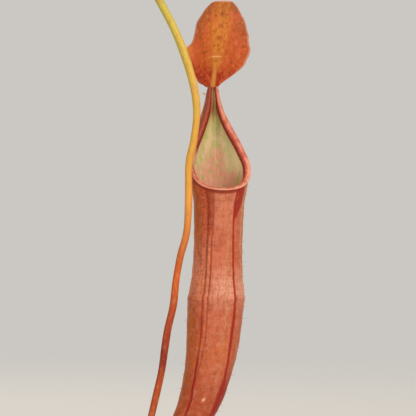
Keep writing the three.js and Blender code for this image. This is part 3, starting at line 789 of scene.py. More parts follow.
MOUTH_YAW = math.radians(9)
RIM_RADIUS = 1
RIM_END_RADIUS = 0.75
NECK_HEIGHT = 43.8
NECK_LEAN = -1.3
BACK_OF_MOUTH = -10
RIM_HALF = [
    (0, 0, 12, 0.2), (45, 8.6, 8.8, 2.3), (90, 12.4, 1.5, 9.5), (120, 10.5, -4.2, 18),
    (145, 6.8, -7.4, 26.5), (165, 3.5, -8.8, 34.5), (180, 1.4, -9.3, NECK_HEIGHT),
]
RIM = [(-angle, -aside, *rest) for angle, aside, *rest in RIM_HALF[:0:-1]] + RIM_HALF
RIM_BAND = [
    # (angle from the front, half the band's width)
    (-180, 0.85), (-170, 1.5), (-150, 2.1), (-120, 1.95), (-102, 1.6), (-88, 1.25), (-45, 1.1), (0, 1.1),
    (45, 1.3), (90, 1.75), (120, 1.9), (150, 1.8), (165, 1.35), (180, 0.75),
]

print(f"cup {-CUP_BOTTOM} mm deep below its rim's front, neck {NECK_HEIGHT} mm above it")


# %% Places on the mouth and the rim
def mouth_point(aside, forwards, height):
    """A point by its distances sideways, forwards and up from the front of the mouth's level."""
    lean = NECK_LEAN * eased(height, 0, 38)
    x = aside * math.cos(MOUTH_YAW) + forwards * math.sin(MOUTH_YAW) + lean
    y = aside * math.sin(MOUTH_YAW) - forwards * math.cos(MOUTH_YAW)
    return np.stack(np.broadcast_arrays(x, y, height), axis=-1)


def across_to(vectors, ahead):
    """The vectors without their part along ahead, made one unit long."""
    return unit(vectors - ahead * np.sum(vectors * ahead, axis=-1, keepdims=True))


def rim_frame(angle):
    """The rim's path at each angle, and the ways along it and out across its band."""
    point, before, after = (
        mouth_point(*(along(RIM, turn, column) for column in (1, 2, 3)))
        for turn in (angle, np.maximum(angle - 0.5, -180), np.minimum(angle + 0.5, 180))
    )
    ahead = unit(after - before)
    turn = np.radians(np.clip(angle, -90, 90))
    outward = mouth_point(np.sin(turn), np.cos(turn), 0 * turn)
    return point, ahead, across_to(outward, ahead)


def rim_inset(angle):
    """How far inside the rim's path the middle of its band lies."""
    at_neck = eased(np.abs(angle), 140, 180)
    return along(RIM_BAND, angle) - RIM_RADIUS - (RIM_END_RADIUS - RIM_RADIUS) * at_neck


def wall_top(angle):
    """Where the cup's wall runs into the rim, and the way out of the wall there."""
    at_back = eased(np.abs(angle), 60, 120)
    aside, forwards, height = (along(RIM, angle, column) for column in (1, 2, 3))
    point, ahead, outward = rim_frame(angle)
    below = mouth_point(aside * (1 - at_back), forwards + (BACK_OF_MOUTH - forwards) * at_back, height - 12)
    into = across_to(below - point, ahead)
    middle = point - outward * (0.7 * rim_inset(angle))[..., None]
    return middle + 0.1 * into, unit(np.cross(into, ahead))


# %% [markdown]
# ## Cups
# A cup is one skin: up the outside, over the edge that runs into the rim, and down the inside.
# Below the mouth its rings are level circles on a bending axis. Above, they are drawn up to the
# rim's own curve. Relief is added where the real one has it: two low wings down the front, the left
# one between grooves darkened with painted shade and the right one beside a red line, the crest at
# the hip, and slow waves.

# %% Wings, lines and relief
WING_LINE = 5.6  # degrees from a wing's crest to the dark line beside it
WING_FADE = (-124, -108)  # levels over which wings and waves grow from the foot
PALE_SPOT = (-2.7, -87.5)  # angle and level of one pale wart
FRONT = (-66, 60)  # degrees over which the columns are close together, for the wings
MAIN_CUP_STEP = 1.0  # degrees between columns over the front
CUP_STEP = 2.2
TUBE_ROWS = 160
MOUTH_ROWS = 56
LINING_ROWS = 60


def wings(angle, level):
    """The wings' relief in mm, how strongly the painted shade beside the left wing shows, and how strongly
    the red line shows, which is partly painted shade low on the right.
    """
    fade = eased(level, *WING_FADE)
    left, right = angle - along(LEFT_RIB, level), angle - along(RIGHT_RIB, level)
    top = eased(level, -21, -18)
    split = WING_LINE * eased(level, -84, -70)
    crest = (0.4 - 0.25 * top) * hump(left, 0, 3.4) + 0.3 * hump(right, -4, 3)
    # lines and shaded: painted shade on both sides of the left wing's crest and over the panel beside its
    # top; lines also cut the grooves in the relief
    lines = hump(left, -split, 2.6) + hump(left, split, 1.9) * (1 - 0.4 * top)
    shaded = 0.62 * top * eased(left, -6, -4) * (1 - eased(left, 10, 12))
    dark = np.maximum(np.clip(lines, 0, 1), shaded)
    reach = eased(level, -14, -5)
    patch = 0.8 * eased(right, 1, 4) * (1 - eased(right, 3 + 18 * reach, 7 + 20 * reach))
    patch = patch * eased(reach, 0, 0.2)
    # low_patch: partly the red band, partly painted shade low on the right
    low_patch = 0.95 * eased(right, -8, -2) * eased(-level, 72, 88)
    low_line = 0.9 * hump(left, -2, 5) * eased(-level, 62, 74)
    line = hump(right, 0.5, 4.5 + 2 * eased(-level, 40, 60) + 5 * eased(-level, 72, 88))
    red = np.maximum.reduce([line, patch, low_patch, low_line])
    relief = crest - 0.16 * lines - 0.2 * hump(right, 1, 3)
    return relief * fade, dark * fade, red * fade


def cup_relief(angle, level):
    turn = np.radians(angle)
    crest = 0.22 * hump(level, HIP, 1.2) - 0.1 * hump(level, HIP - 2.3, 1.6)
    waves = 0.16 * np.sin(level * 0.19 + 2 * np.sin(turn)) * np.sin(3 * turn + 0.05 * level)
    waves = waves + 0.07 * np.sin(level * 0.83 + 3 * turn) * np.cos(5 * turn)
    return crest + waves * eased(level, *WING_FADE)


# %% Points of the cup's wall
def cup_wall(angle, level, inset, raised=0.0):
    """Points of the wall: inset mm in from the plain outside, raised mm out from there."""
    wall_radius = along(CUP_RADIUS, level)
    radius = wall_radius - inset + raised
    turn = np.radians(angle)
    tube_level = np.minimum(level, TUBE_TOP)
    tube = mouth_point(radius * np.sin(turn), radius * np.cos(turn), tube_level)
    tube[..., 0] += along(CUP_AXIS, tube_level, 1)
    tube[..., 1] += along(CUP_AXIS, tube_level, 2)
    rise = np.clip(1 - level / TUBE_TOP, 0, 1)
    edge, outward = wall_top(angle)
    edge = edge + outward * (radius - (wall_radius - CUP_WALL / 2))[..., None]
    wall = tube + (edge - tube) * (rise**1.3)[..., None]
    wall[..., 2] = tube[..., 2] + (edge[..., 2] - tube[..., 2]) * rise
    wall[..., 1] += 1.3 * np.sin(np.pi * rise) * eased(np.abs(angle), 105, 150)
    return wall


def with_trough(values, depth=None):
    """Adds four columns between the last and the first, for the groove up the neck's middle."""
    share = np.linspace(0, 1, 6)[1:-1]
    first, last = values[:, :1], values[:, -1:]
    share = share[None, :, None] if values.ndim == 3 else share[None]
    middle = last + (first - last) * share
    if depth is not None:
        middle[..., 1] += depth * 4 * share[..., 0] * (1 - share[..., 0])
    return np.concatenate([values, middle], axis=1)


def cup_columns(step):
    """Angles round the cup, from back to back, three times as close over the front."""
    left, right = FRONT
    front = np.arange(left, right, step)
    return np.concatenate([np.arange(-180, left, 3 * step), front, np.arange(right, 179, 3 * step), [180]])


# %% Cups
def make_cup(index, step):
    """One open cup with its bristles. Its measures tell the two finishes where they are."""
    columns = cup_columns(step)
    upper = TUBE_TOP * (1 - np.linspace(0, 1, MOUTH_ROWS)[1:])
    outer_levels = np.concatenate([np.linspace(CUP_BOTTOM, TUBE_TOP, TUBE_ROWS), upper])
    lining_levels = np.linspace(TUBE_TOP, CUP_HOLLOW_BOTTOM + 4, LINING_ROWS)
    inner_levels = np.concatenate([upper[::-1], lining_levels])
    angle, level = np.meshgrid(columns, outer_levels)
    raised, dark, red = wings(angle, level)
    raised = (raised + cup_relief(angle, level)) * (1 - eased(level, TUBE_TOP, 0))
    outside = cup_wall(angle, level, 0, raised)
    inner_angle, inner_level = np.meshgrid(columns, inner_levels)
    inside = cup_wall(inner_angle, inner_level, LINING_DEPTH * np.ones_like(inner_level))
    wall = np.concatenate([outside, inside])
    turn = np.concatenate([angle, inner_angle])
    rim = rim_frame(turn)[0]
    is_out = np.append(np.ones(len(outer_levels)), np.zeros(len(inner_levels)))[:, None]
    middle = along(CUP_AXIS, np.clip(wall[..., 2], CUP_BOTTOM, 0), 1)
    # bristles stand mostly along the two outlines, and more on the right
    hairy = 0.03 + 0.97 * eased(turn, 55, 80) + 0.25 * eased(-turn, 60, 85)
    inner = 0 * inner_angle
    marks = {
        "turn": turn,
        "height": wall[..., 2],
        "dark_line": np.concatenate([dark, inner]),
        "red_line": np.concatenate([red, inner]),
        "spot": np.concatenate([hump(angle, PALE_SPOT[0], 4) * hump(level, PALE_SPOT[1], 0.6), inner]),
        "below_rim": np.linalg.norm(wall - rim, axis=-1),
        "aside": np.abs(wall[..., 0] - middle + 1.4),
        "bristly": is_out * hairy * (wall[..., 2] < 3),
    }
    depth = 0.9 * eased(wall[:, -1, 2], 22, 40)[:, None]
    cup = skin(
        f"pitcher_{index + 1}_cup_skin",
        placed(with_trough(wall, depth), index),
        around=np.append(columns / 360 + 0.5, 1 + np.arange(1, 5) * 1e-3),
        second_from=len(outer_levels),
        **{name: with_trough(values) for name, values in marks.items()},
    )
    size = LEAVES[index]["size"]
    hairs = {"Per Square Metre": 9e4 / size, "Length": 1.9 * MM * size, "Seed": index + 1}
    bristles = grown(f"pitcher_{index + 1}_bristles", cup, bristle_tree, Material=bristle_finish, **hairs)
    dress(cup, [cup_skin, cup_lining], [f"pitcher_{index + 1}_cup"])
    dress(bristles, [])


for index in leaves_with("open"):
    make_cup(index, step=MAIN_CUP_STEP if index == MAIN_LEAF else CUP_STEP)

# %% [markdown]
# ## Rims
# The rim is a band, arched over the wall's edge, narrow in front and wide at the sides, that ends in
# two branches up the neck. Fine ribs run across it all the way round. The band is a skin on
# the mouth's edge that knows how far along it each ring lies, and a tree raises one rib for each
# rib pitch by moving its points along their normals.

# %% The rib tree
RIM_RIB_PITCH = 0.6  # real ribs are about 0.3 mm apart: drawn coarser so that the render can hold one
RIM_SAMPLES = 1441
RIM_SIDES = 20
RIM_THICKNESS = 0.62
RIM_ARCH = 0.5
RIM_LIFT = 0.15
MAIN_RIM_ROWS = 1000
RIM_ROWS = 640


def make_rib_tree():
    tree, given = growth_tree("ribs", {"Rib Pitch": RIM_RIB_PITCH * MM, "Rib Height": 0.05 * MM})
    run = node(tree, "GeometryNodeInputNamedAttribute", {"Name": "run"}, data_type="FLOAT")
    count = node(tree, "ShaderNodeMath", {0: run, 1: given["Rib Pitch"]}, operation="DIVIDE")
    phase = node(tree, "ShaderNodeMath", {0: count, 1: 2 * math.pi}, operation="MULTIPLY")
    wave = node(tree, "ShaderNodeMath", {0: phase}, operation="COSINE")
    height = node(tree, "ShaderNodeMath", {0: wave, 1: given["Rib Height"]}, operation="MULTIPLY")
    normal = node(tree, "GeometryNodeInputNormal")
    offset = node(tree, "ShaderNodeVectorMath", {0: normal, "Scale": height}, operation="SCALE")
    ribbed = node(tree, "GeometryNodeSetPosition", {"Geometry": given["Geometry"], "Offset": offset})
    return end_tree(tree, given, ribbed)


rib_tree = make_rib_tree()


# %% Rims
def make_rim(index, rows):
    dense = np.linspace(-180, 180, RIM_SAMPLES)
    steps = np.linalg.norm(np.diff(rim_frame(dense)[0], axis=0), axis=1)
    run = np.append(0, np.cumsum(steps))
    even = np.linspace(0, run[-1], rows)
    angle = np.interp(even, run, dense)
    point, ahead, outward = rim_frame(angle)
    up = np.cross(outward, ahead)
    half = along(RIM_BAND, angle)
    section = np.linspace(0, 2 * np.pi, RIM_SIDES, endpoint=False)
    across = np.cos(section)
    aside = half[:, None] * across - rim_inset(angle)[:, None]
    high = RIM_THICKNESS * np.sin(section) * (1 + 0.12 * across) - RIM_ARCH * across**2 + RIM_LIFT
    high = high * np.clip(half / 1.3, 0.7, 1.15)[:, None]
    rings = point[:, None] + outward[:, None] * aside[..., None] + up[:, None] * high[..., None]
    size = LEAVES[index]["size"]
    marks = {"across": across[None], "turn": angle[:, None], "run": even[:, None] * size * MM}
    plain = skin("rim_band", placed(rings, index), **marks)
    pitch = {"Rib Pitch": RIM_RIB_PITCH * MM * math.sqrt(size)}
    rim = grown(f"pitcher_{index + 1}_rim_lip", plain, rib_tree, Material=rim_finish, **pitch)
    bpy.data.objects.remove(plain)
    dress(rim, [], [f"pitcher_{index + 1}_rim"])


for index in leaves_with("open"):
    make_rim(index, MAIN_RIM_ROWS if index == MAIN_LEAF else RIM_ROWS)

# %% [markdown]
# ## Lids
# A lid is a blade of lens-shaped rings, stacked from its foot to its end. Its outline is measured on
# both sides, because the left edge has a notch that the right one lacks. The edges bend
# back from the midline and ripple a little, and veins fan out from the foot as low ridges.

# %% Measures of a lid
LID_LENGTH = 35.7
LID_LEAN = math.radians(7)
LID_CROWN = 2.6  # how far its edges stand back, at LID_HALF_WIDTH from the midline
LID_HALF_WIDTH = 13
LID_THICKNESS = 0.26
LID_COLUMNS = 61
LID_ROWS = 84
LID_TIP_FROM = 0.92  # share of length where the rows start to crowd towards the blunt end
LID_TIP_ROWS = 16
MAIN_GLANDS = [
    # (mm aside of the midline, share of the lid's length, radius in mm)
    (0.5, 0.862, 0.55), (2.8, 0.864, 0.35), (-2.1, 0.835, 0.4), (0.35, 0.722, 0.5), (2.6, 0.758, 0.3),
    (0.1, 0.572, 0.55), (1.4, 0.582, 0.3), (0.3, 0.495, 0.35), (0.7, 0.435, 0.35), (0.4, 0.307, 0.45),
    (10.8, 0.506, 0.4), (6.5, 0.304, 0.45), (-4.8, 0.773, 0.35), (-4.9, 0.389, 0.4),
]
LID_OUTLINE = [
    # (share of length, half-width on the left, half-width on the right)
    (-0.02, 2.7, 1.9), (0, 4.1, 2.5), (0.018, 5.9, 2.9), (0.044, 6.8, 3.6), (0.07, 7.3, 4.6),
    (0.098, 8, 5.7), (0.14, 9, 7.4), (0.18, 9.9, 8.9), (0.233, 11.2, 10.7), (0.3, 12.5, 12.5),
    (0.36, 13.3, 13.1), (0.4, 13.4, 13.7), (0.44, 12.3, 14), (0.48, 11.1, 14.2), (0.54, 10.6, 13.5),
    (0.6, 10.3, 12.9), (0.65, 10.2, 12.7), (0.7, 10.1, 11.9), (0.76, 9.5, 11.15), (0.82, 8.4, 10.25),
    (0.86, 7.75, 9.2), (0.9, 7, 8), (0.945, 5.8, 6.3), (0.975, 4.8, 4.9), (0.992, 3.6, 3.9), (1, 2.6, 3),
]


# %% Places on a lid
def lid_point(aside, length, out):
    """A point by its distances along the lid: sideways, up from its foot and towards the front."""
    foot = mouth_point(0, -10.4, NECK_HEIGHT + 0.2)
    x = aside * math.cos(LID_LEAN) + length * math.sin(LID_LEAN)
    z = length * math.cos(LID_LEAN) - aside * math.sin(LID_LEAN)
    return np.stack(np.broadcast_arrays(x, -out, z), axis=-1) + foot


def lid_bow(aside, share):
    """How far the lid's middle surface stands back from its foot, in mm."""
    ripple = 0.5 * np.sin(9 * share + aside * 0.35) * eased(np.abs(aside), 4, 13)
    return LID_CROWN * (aside / LID_HALF_WIDTH) ** 2 + ripple - 1.6 * np.sin(np.pi * share)


def lens(count):
    """Places across a lens-shaped ring, count over the front and back again over the rear."""
    front = -np.cos(np.linspace(0, np.pi, count))
    return np.concatenate([front, front[-2:0:-1]]), np.append(np.ones(count), -np.ones(count - 2))


# %% Blades of the lids
def make_lid(index):
    across, side = lens(LID_COLUMNS)
    towards_tip = LID_TIP_FROM + 0.08 * np.sin(np.linspace(0, np.pi / 2, LID_TIP_ROWS)[1:])
    a, t = np.meshgrid(across, np.append(np.linspace(-0.02, LID_TIP_FROM, LID_ROWS), towards_tip))
    aside = a * np.where(a < 0, along(LID_OUTLINE, t, 1), along(LID_OUTLINE, t, 2))
    fan = np.arctan2(aside, 6 + LID_LENGTH * np.maximum(t, 0))
    vein = hump(np.sin(42 * fan + 0.4 * np.sin(9 * t)), 1, 0.35) * eased(t, 0.02, 0.2)
    gland = 0
    for x, y, radius in MAIN_GLANDS:
        gland = gland + 1.8 * radius * hump(np.hypot(aside - x, LID_LENGTH * (t - y)), 0, 1.7 * radius)
    thickness = LID_THICKNESS * np.sqrt(np.maximum(1 - a**4, 0)) + 0.3 * hump(aside, 0, 1.2) * (1 - t)
    out = side * (thickness + 0.05 * vein) - lid_bow(aside, t)
    level_end = eased(t, 0.86, 1) * (0.7 + 0.12 * aside)
    rings = placed(lid_point(aside, LID_LENGTH * t + level_end, out), index)
    marks = {"across": a, "share": t, "aside": aside, "vein": vein, "gland": np.clip(gland, 0, 1)}
    lid = skin(f"pitcher_{index + 1}_lid_blade", rings, **marks)
    dress(lid, [lid_finish], [f"pitcher_{index + 1}_lid"])


for index in leaves_with("open"):
    make_lid(index)

# %% [markdown]
# ## Glands on the lids
# Nectar glands are small dark spots on the lid's face: a few large ones along the midline and
# smaller ones scattered about. Their places are points, and a tree puts a low dome on each one,
# turned to face out of the lid.

# %% The gland tree and the glands
SMALL_GLANDS = 34
GLAND_SEED = 40
GLAND_FLATNESS = 0.3


def make_gland_tree():
    tree, given = growth_tree("glands", {"Sides": 10})
    points = node(tree, "GeometryNodeMeshToPoints", {"Mesh": given["Geometry"]})
    dome = node(tree, "GeometryNodeMeshUVSphere", {"Segments": given["Sides"], "Rings": 6, "Radius": 1})
    flat = node(tree, "GeometryNodeTransform", {"Geometry": dome, "Scale": (1, 1, GLAND_FLATNESS)})
    out = node(tree, "GeometryNodeInputNamedAttribute", {"Name": "outward"}, data_type="FLOAT_VECTOR")
    turn = node(tree, "FunctionNodeAlignRotationToVector", {"Vector": out}, axis="Z")
    size = node(tree, "GeometryNodeInputNamedAttribute", {"Name": "thick"}, data_type="FLOAT")
    inputs = {"Points": points, "Instance": flat, "Rotation": turn, "Scale": size}
    return end_tree(tree, given, node(tree, "GeometryNodeInstanceOnPoints", inputs))


gland_tree = make_gland_tree()


def make_glands(index):
    chance = np.random.default_rng(GLAND_SEED + index)
    aside, share, radius = (list(column) for column in zip(*MAIN_GLANDS))
    aside += list(chance.normal(0.3, 4.2, SMALL_GLANDS).clip(-8, 8))
    share += list(chance.uniform(0.25, 0.9, SMALL_GLANDS))
    radius += list(chance.uniform(0.1, 0.22, SMALL_GLANDS))
    aside, share, radius = (np.array(column) for column in (aside, share, radius))
    out = 0.2 - lid_bow(aside, share)
    spots = placed(lid_point(aside, LID_LENGTH * share, out), index)
    ahead = placed(lid_point(aside, LID_LENGTH * share, out + 1), index)
    mesh = bpy.data.meshes.new("gland_spots")
    mesh.from_pydata(spots * MM, [], [])
    carrier = place_object("gland_spots", mesh)
    size = LEAVES[index]["size"]
    mesh.attributes.new("thick", "FLOAT", "POINT").data.foreach_set("value", radius * size * MM)
    outward = unit(ahead - spots).astype(np.float32)
    mesh.attributes.new("outward", "FLOAT_VECTOR", "POINT").data.foreach_set("vector", outward.ravel())
    glands = grown(f"pitcher_{index + 1}_glands", carrier, gland_tree, Material=gland_finish)
    bpy.data.objects.remove(carrier)
    dress(glands, [])


for index in leaves_with("open"):
    make_glands(index)

# %% [markdown]
# ## Spurs
# Behind the neck stands a thin pale filament, the end of the leaf's midrib. It is a tapering tube
# that leans out to the left, with a few slow swellings.

# %% Spurs
SPUR_ROUTE = [(0, 0, 0), (-1.8, 1.4, 0.5), (-3.4, 1.9, 0.5), (-5, 1.7, 1.2)]  # from its foot
SPUR_RADIUS = 0.58
SPUR_RINGS = 40
SPUR_SIDES = 12


def make_spur(index):
    foot = mouth_point(0, -10.9, NECK_HEIGHT - 3.4)
    path = path_through(foot + np.array(SPUR_ROUTE), SPUR_RINGS)
    t = np.linspace(0, 1, SPUR_RINGS)
    radii = SPUR_RADIUS * (1 - 0.6 * t) + 0.08 * np.sin(14 * t)
    rings = placed(tube_rings(path, radii, SPUR_SIDES, (0, 0, 1)), index)
    spur = skin(f"pitcher_{index + 1}_spur_filament", rings)
    dress(spur, [spur_finish], [f"pitcher_{index + 1}_spur"])


for index in leaves_with("open"):
    make_spur(index)

# %% [markdown]
# ## Tendrils
# A tendril is a round stalk on a smooth path, slightly thicker where it leaves the leaf and where it
# turns up into the cup, and with slow swellings between. Its ends run into the leaf and the cup.

# %% Tendrils
TENDRIL_ROUTE = [
    (-51.5, 0, 105.7), (-50.2, 0, 105), (-42.6, -0.3, 100.8), (-33.9, -2.5, 92.4), (-25.5, -5.5, 79.8),
    (-17.1, -8, 63), (-11.5, -8, 46.2), (-9.5, -8, 33.6), (-10.7, -8.5, 21), (-12.8, -9, 10.5),
    (-12.9, -9.5, -4.2), (-13.7, -10.5, -17.6), (-16.3, -12.5, -27.7), (-18.1, -14, -37.8),
    (-19.2, -15, -47.9), (-21.5, -16, -58), (-23, -17, -68), (-23.9, -17.4, -74.5), (-25.4, -18, -81.5),
    (-28.5, -19.2, -94.9), (-31.5, -20, -109.2), (-32.4, -19.5, -121.8), (-31.6, -16.6, -129.4),
    (-29.4, -12.4, -132.6), (-27.2, -9.3, -131.6), (-26.3, -8, -127.4), (-25.6, -7.6, -124),
]
TENDRIL_RINGS = 460
TENDRIL_SIDES = 20


def make_tendril(index):
    path = path_through(TENDRIL_ROUTE, TENDRIL_RINGS)
    t = np.linspace(0, 1, len(path))
    radii = TENDRIL_RADIUS - 0.2 * eased(path[:, 2], 60, 10)
    radii = radii + 0.2 * eased(t, 0.8, 0.88) + 0.4 * eased(t, 0.95, 0.99)
    radii = radii + 0.05 * np.sin(31 * t) + 0.04 * np.sin(83 * t + 1)
    radii = radii / math.sqrt(LEAVES[index]["size"])
    rings = tube_rings(path, radii, TENDRIL_SIDES)
    left = (path[:, :1] - rings[..., 0]) / radii[:, None]
    tendril = skin(f"tendril_{index + 1}_stalk", placed(rings, index), height=path[:, 2:], left=left)
    dress(tendril, [tendril_finish], [f"tendril_{index + 1}"])


for index in leaves_with("open", "closed"):
    make_tendril(index)

# %% [markdown]
# ## Young growth
# Three pitchers are still shut. Each is the same tube, slimmer, with its lid closed over a slanting
# mouth, so it takes the open cup's axis, radii and wings, and its lid is a low dome that stands a
# little proud of a seam. The two youngest leaves end in tendrils that curl up round a bud. All
# of this is green with a red flush, and thick with fine hairs.

# %% Young-growth finish
young_finish = finish(
    "downy young growth",
    "#a55c36",
    [
        ("#a59a45", ("level", -95, 10)),
        ("#b0603c", 0.6, blotches(2.5, 0.45, 0.65, stretch=(1, 1, 2), seed=5)),
        ("#7d3a22", 0.45, blotches(0.7, 0.56, 0.7, stretch=(1, 1, 2), detail=2)),
        # the lines: the open cup's painted wing shade and red, and a dark line in the seam's groove
        ("#8c3520", 0.7, ("lines", 0.3, 1)),
    ],
    measures={"level": ("MULTIPLY_ADD", {"size": 5, "stretch": (1, 1, 2)}, 40, "height")},
    bump={"size": 0.5, "stretch": (1, 1, 2)}, depth=0.1, roughness=0.55, sheen=0.3,
)

# %% Measures of a closed pitcher
CLOSED_SLIMNESS = 0.88
CLOSED_SLANT = 0.9
SLANT_FROM = -30
CLOSED_TUBE_RINGS = 130
CLOSED_TOP_RINGS = 40
CLOSED_STEP = 2.5  # degrees between columns
CLOSED_TOP = [
    # (radius, height)
    (9.4, -6), (9.35, -3.4), (9.15, -1.4), (8.5, 0.4), (7, 2.1), (4.8, 3.5), (2.4, 4.3), (0.3, 4.6),
]


# %% Make the closed pitchers
def make_closed_pitcher(index):
    tube = np.linspace(CUP_BOTTOM, -6.6, CLOSED_TUBE_RINGS)
    top = path_through([(radius, height, 0) for radius, height in CLOSED_TOP], CLOSED_TOP_RINGS)
    profile_radius = np.append(CLOSED_SLIMNESS * along(CUP_RADIUS, tube), top[:, 0])
    angle, level = np.meshgrid(np.arange(-180, 180, CLOSED_STEP), np.append(tube, top[:, 1]))
    raised, dark, red = wings(angle, level)
    under_lid = 1 - eased(level, -8, -3)
    seam = 0.35 * hump(level, -0.4, 0.6) - 0.4 * hump(level, -1.7, 0.4)
    radius = profile_radius[:, None] + (raised + cup_relief(angle, level)) * under_lid + seam
    x = radius * np.sin(np.radians(angle))
    y = -radius * np.cos(np.radians(angle))
    height = level + CLOSED_SLANT * eased(level, SLANT_FROM, 0) * y
    x = x + along(CUP_AXIS, level, 1)
    y = y + along(CUP_AXIS, level, 2)
    pitcher = skin(
        f"pitcher_{index + 1}_closed_skin",
        placed(np.stack([x, y, height], axis=-1), index),
        height=level,
        # lines: the open cup's painted wing shade and red lines, and a dark line in the seam's groove
        lines=np.clip(np.maximum(dark, red) * (1 - eased(level, -22, -18)) + hump(level, -1.7, 0.5), 0, 1),
        bristly=1,
    )
    size = LEAVES[index]["size"]
    hairs = {"Per Square Metre": 1.2e5 / size, "Length": 1.5 * MM * math.sqrt(size), "Seed": index + 1}
    down = grown(f"pitcher_{index + 1}_down", pitcher, bristle_tree, Material=bristle_finish, **hairs)
    dress(pitcher, [young_finish], [f"pitcher_{index + 1}_closed"])
    dress(down, [])


for index in leaves_with("closed"):
    make_closed_pitcher(index)

# %% Young tendrils
YOUNG_TENDRIL_ROUTE = [
    (-1.2, 0, 0.3), (0, 0, 0), (10, 0, -0.5), (20, 1, -6), (27, 2, -18), (28, 3, -33), (24, 4, -47),
    (16, 5, -54), (8, 6, -51), (5, 7, -43), (9, 8, -36),
]
YOUNG_TENDRIL_WIDTH = [(0, 1.3), (0.6, 1), (0.82, 1.1), (0.93, 1.9), (0.985, 1.2), (1, 0.35)]
YOUNG_TENDRIL_RINGS = 220
YOUNG_TENDRIL_SIDES = 18


def make_young_tendril(index):
    path = path_through(YOUNG_TENDRIL_ROUTE, YOUNG_TENDRIL_RINGS)
    t = np.linspace(0, 1, len(path))
    widths = along(YOUNG_TENDRIL_WIDTH, t)
    rings = tube_rings(path, widths, YOUNG_TENDRIL_SIDES, (0, 1, 0))
    tendril = skin(
        f"tendril_{index + 1}_young_stalk",
        placed(rings, index, origin=np.zeros(3)),
        height=30 - 110 * t[:, None],
        lines=0,
        bristly=eased(t, 0.5, 0.9)[:, None],
    )
    hairs = {"Per Square Metre": 3e5, "Length": 0.9 * MM, "Seed": index + 1}
    down = grown(f"tendril_{index + 1}_down", tendril, bristle_tree, Material=bristle_finish, **hairs)
    dress(tendril, [young_finish], [f"tendril_{index + 1}"])
    dress(down, [])


for index in leaves_with("none"):
    make_young_tendril(index)

# %% [markdown]
# ## Stem
# The stem is a short woody vine, thicker at its foot. It swells under each leaf and keeps a scar
# where an old leaf has dropped. It is a tube whose radius carries the swellings, with fine
# fibres in the finish: brown bark low down and green higher up.

# %% Stem finish
stem_finish = finish(
    "fibrous vine stem",
    "#6b4a2c",
    [
        ("#83803c", ("level", 135, 215)),
        ("#4d3821", 0.7, blotches(0.7, 0.45, 0.65, stretch=(1, 1, 14), detail=4)),
        ("#a69a6a", 0.35, blotches(1.2, 0.54, 0.7, stretch=(1, 1, 5), seed=4)),
        ("#3d2a1a", 0.8, "scar"),
    ],
    measures={"level": ("MULTIPLY_ADD", {"size": 6, "stretch": (1, 1, 2)}, 50, "height")},
    bump={"size": 0.6, "stretch": (1, 1, 10), "detail": 4}, depth=0.3, roughness=0.62,
)

# %% The stem
MIX_HEAP_HEIGHT = 101
STEM_FOOT = 92
STEM_TOP = 262
STEM_FOOT_RADIUS = 4.6
STEM_TOP_RADIUS = 2.6
STEM_HALF_WAVE = 74
STEM_SWAY = (1.6, 1.12)
OLD_SCARS = (110, 121, 134)
STEM_RINGS = 340
STEM_SIDES = 30


def stem_centre(height):
    phase = np.pi * np.maximum(np.asarray(height, float) - MIX_HEAP_HEIGHT, 0) / STEM_HALF_WAVE
    x, y = STEM_SWAY[0] * np.sin(phase), STEM_SWAY[1] * np.sin(2 * phase)
    return np.stack(np.broadcast_arrays(x, y, height), axis=-1)


def stem_radius(height):
    share = (height - STEM_FOOT) / (STEM_TOP - STEM_FOOT)
    return STEM_FOOT_RADIUS + (STEM_TOP_RADIUS - STEM_FOOT_RADIUS) * share


def make_stem():
    height = np.linspace(STEM_FOOT + 0.35, STEM_TOP, STEM_RINGS)
    turn = np.linspace(0, 2 * np.pi, STEM_SIDES, endpoint=False)
    leaf_bases = [FIRST_LEAF_HEIGHT + LEAF_SPACING * i for i in range(len(LEAVES))]
    swelling = sum(hump(height, base - 1.5, 3) for base in (*leaf_bases, *OLD_SCARS))
    scar = sum(hump(height[:, None], old + 0.8 * np.sin(turn + old), 0.5) for old in OLD_SCARS)
    fibres = 0.06 * np.sin(9 * turn + 0.03 * height[:, None])
    fibres = fibres + 0.05 * np.sin(5 * turn - 0.06 * height[:, None])
    radii = (stem_radius(height) + 0.4 * swelling)[:, None] + fibres - 0.22 * scar
    rings = tube_rings(stem_centre(height), radii, STEM_SIDES)
    stem = skin("main_stem_vine", rings, height=height[:, None], scar=np.clip(scar, 0, 1))
    dress(stem, [stem_finish], ["main_stem"])


make_stem()

# %% [markdown]
# ## Leaves
# A leaf is a leathery blade on a short channelled stalk that joins the stem. Its midrib is a
# groove above and a keel below, its halves fold up a little and ripple at the edge, and at its tip
# the midrib runs on as the tendril. Each one is lens-shaped rings along an arch, so that top and
# underside are one closed skin and can be coloured apart.

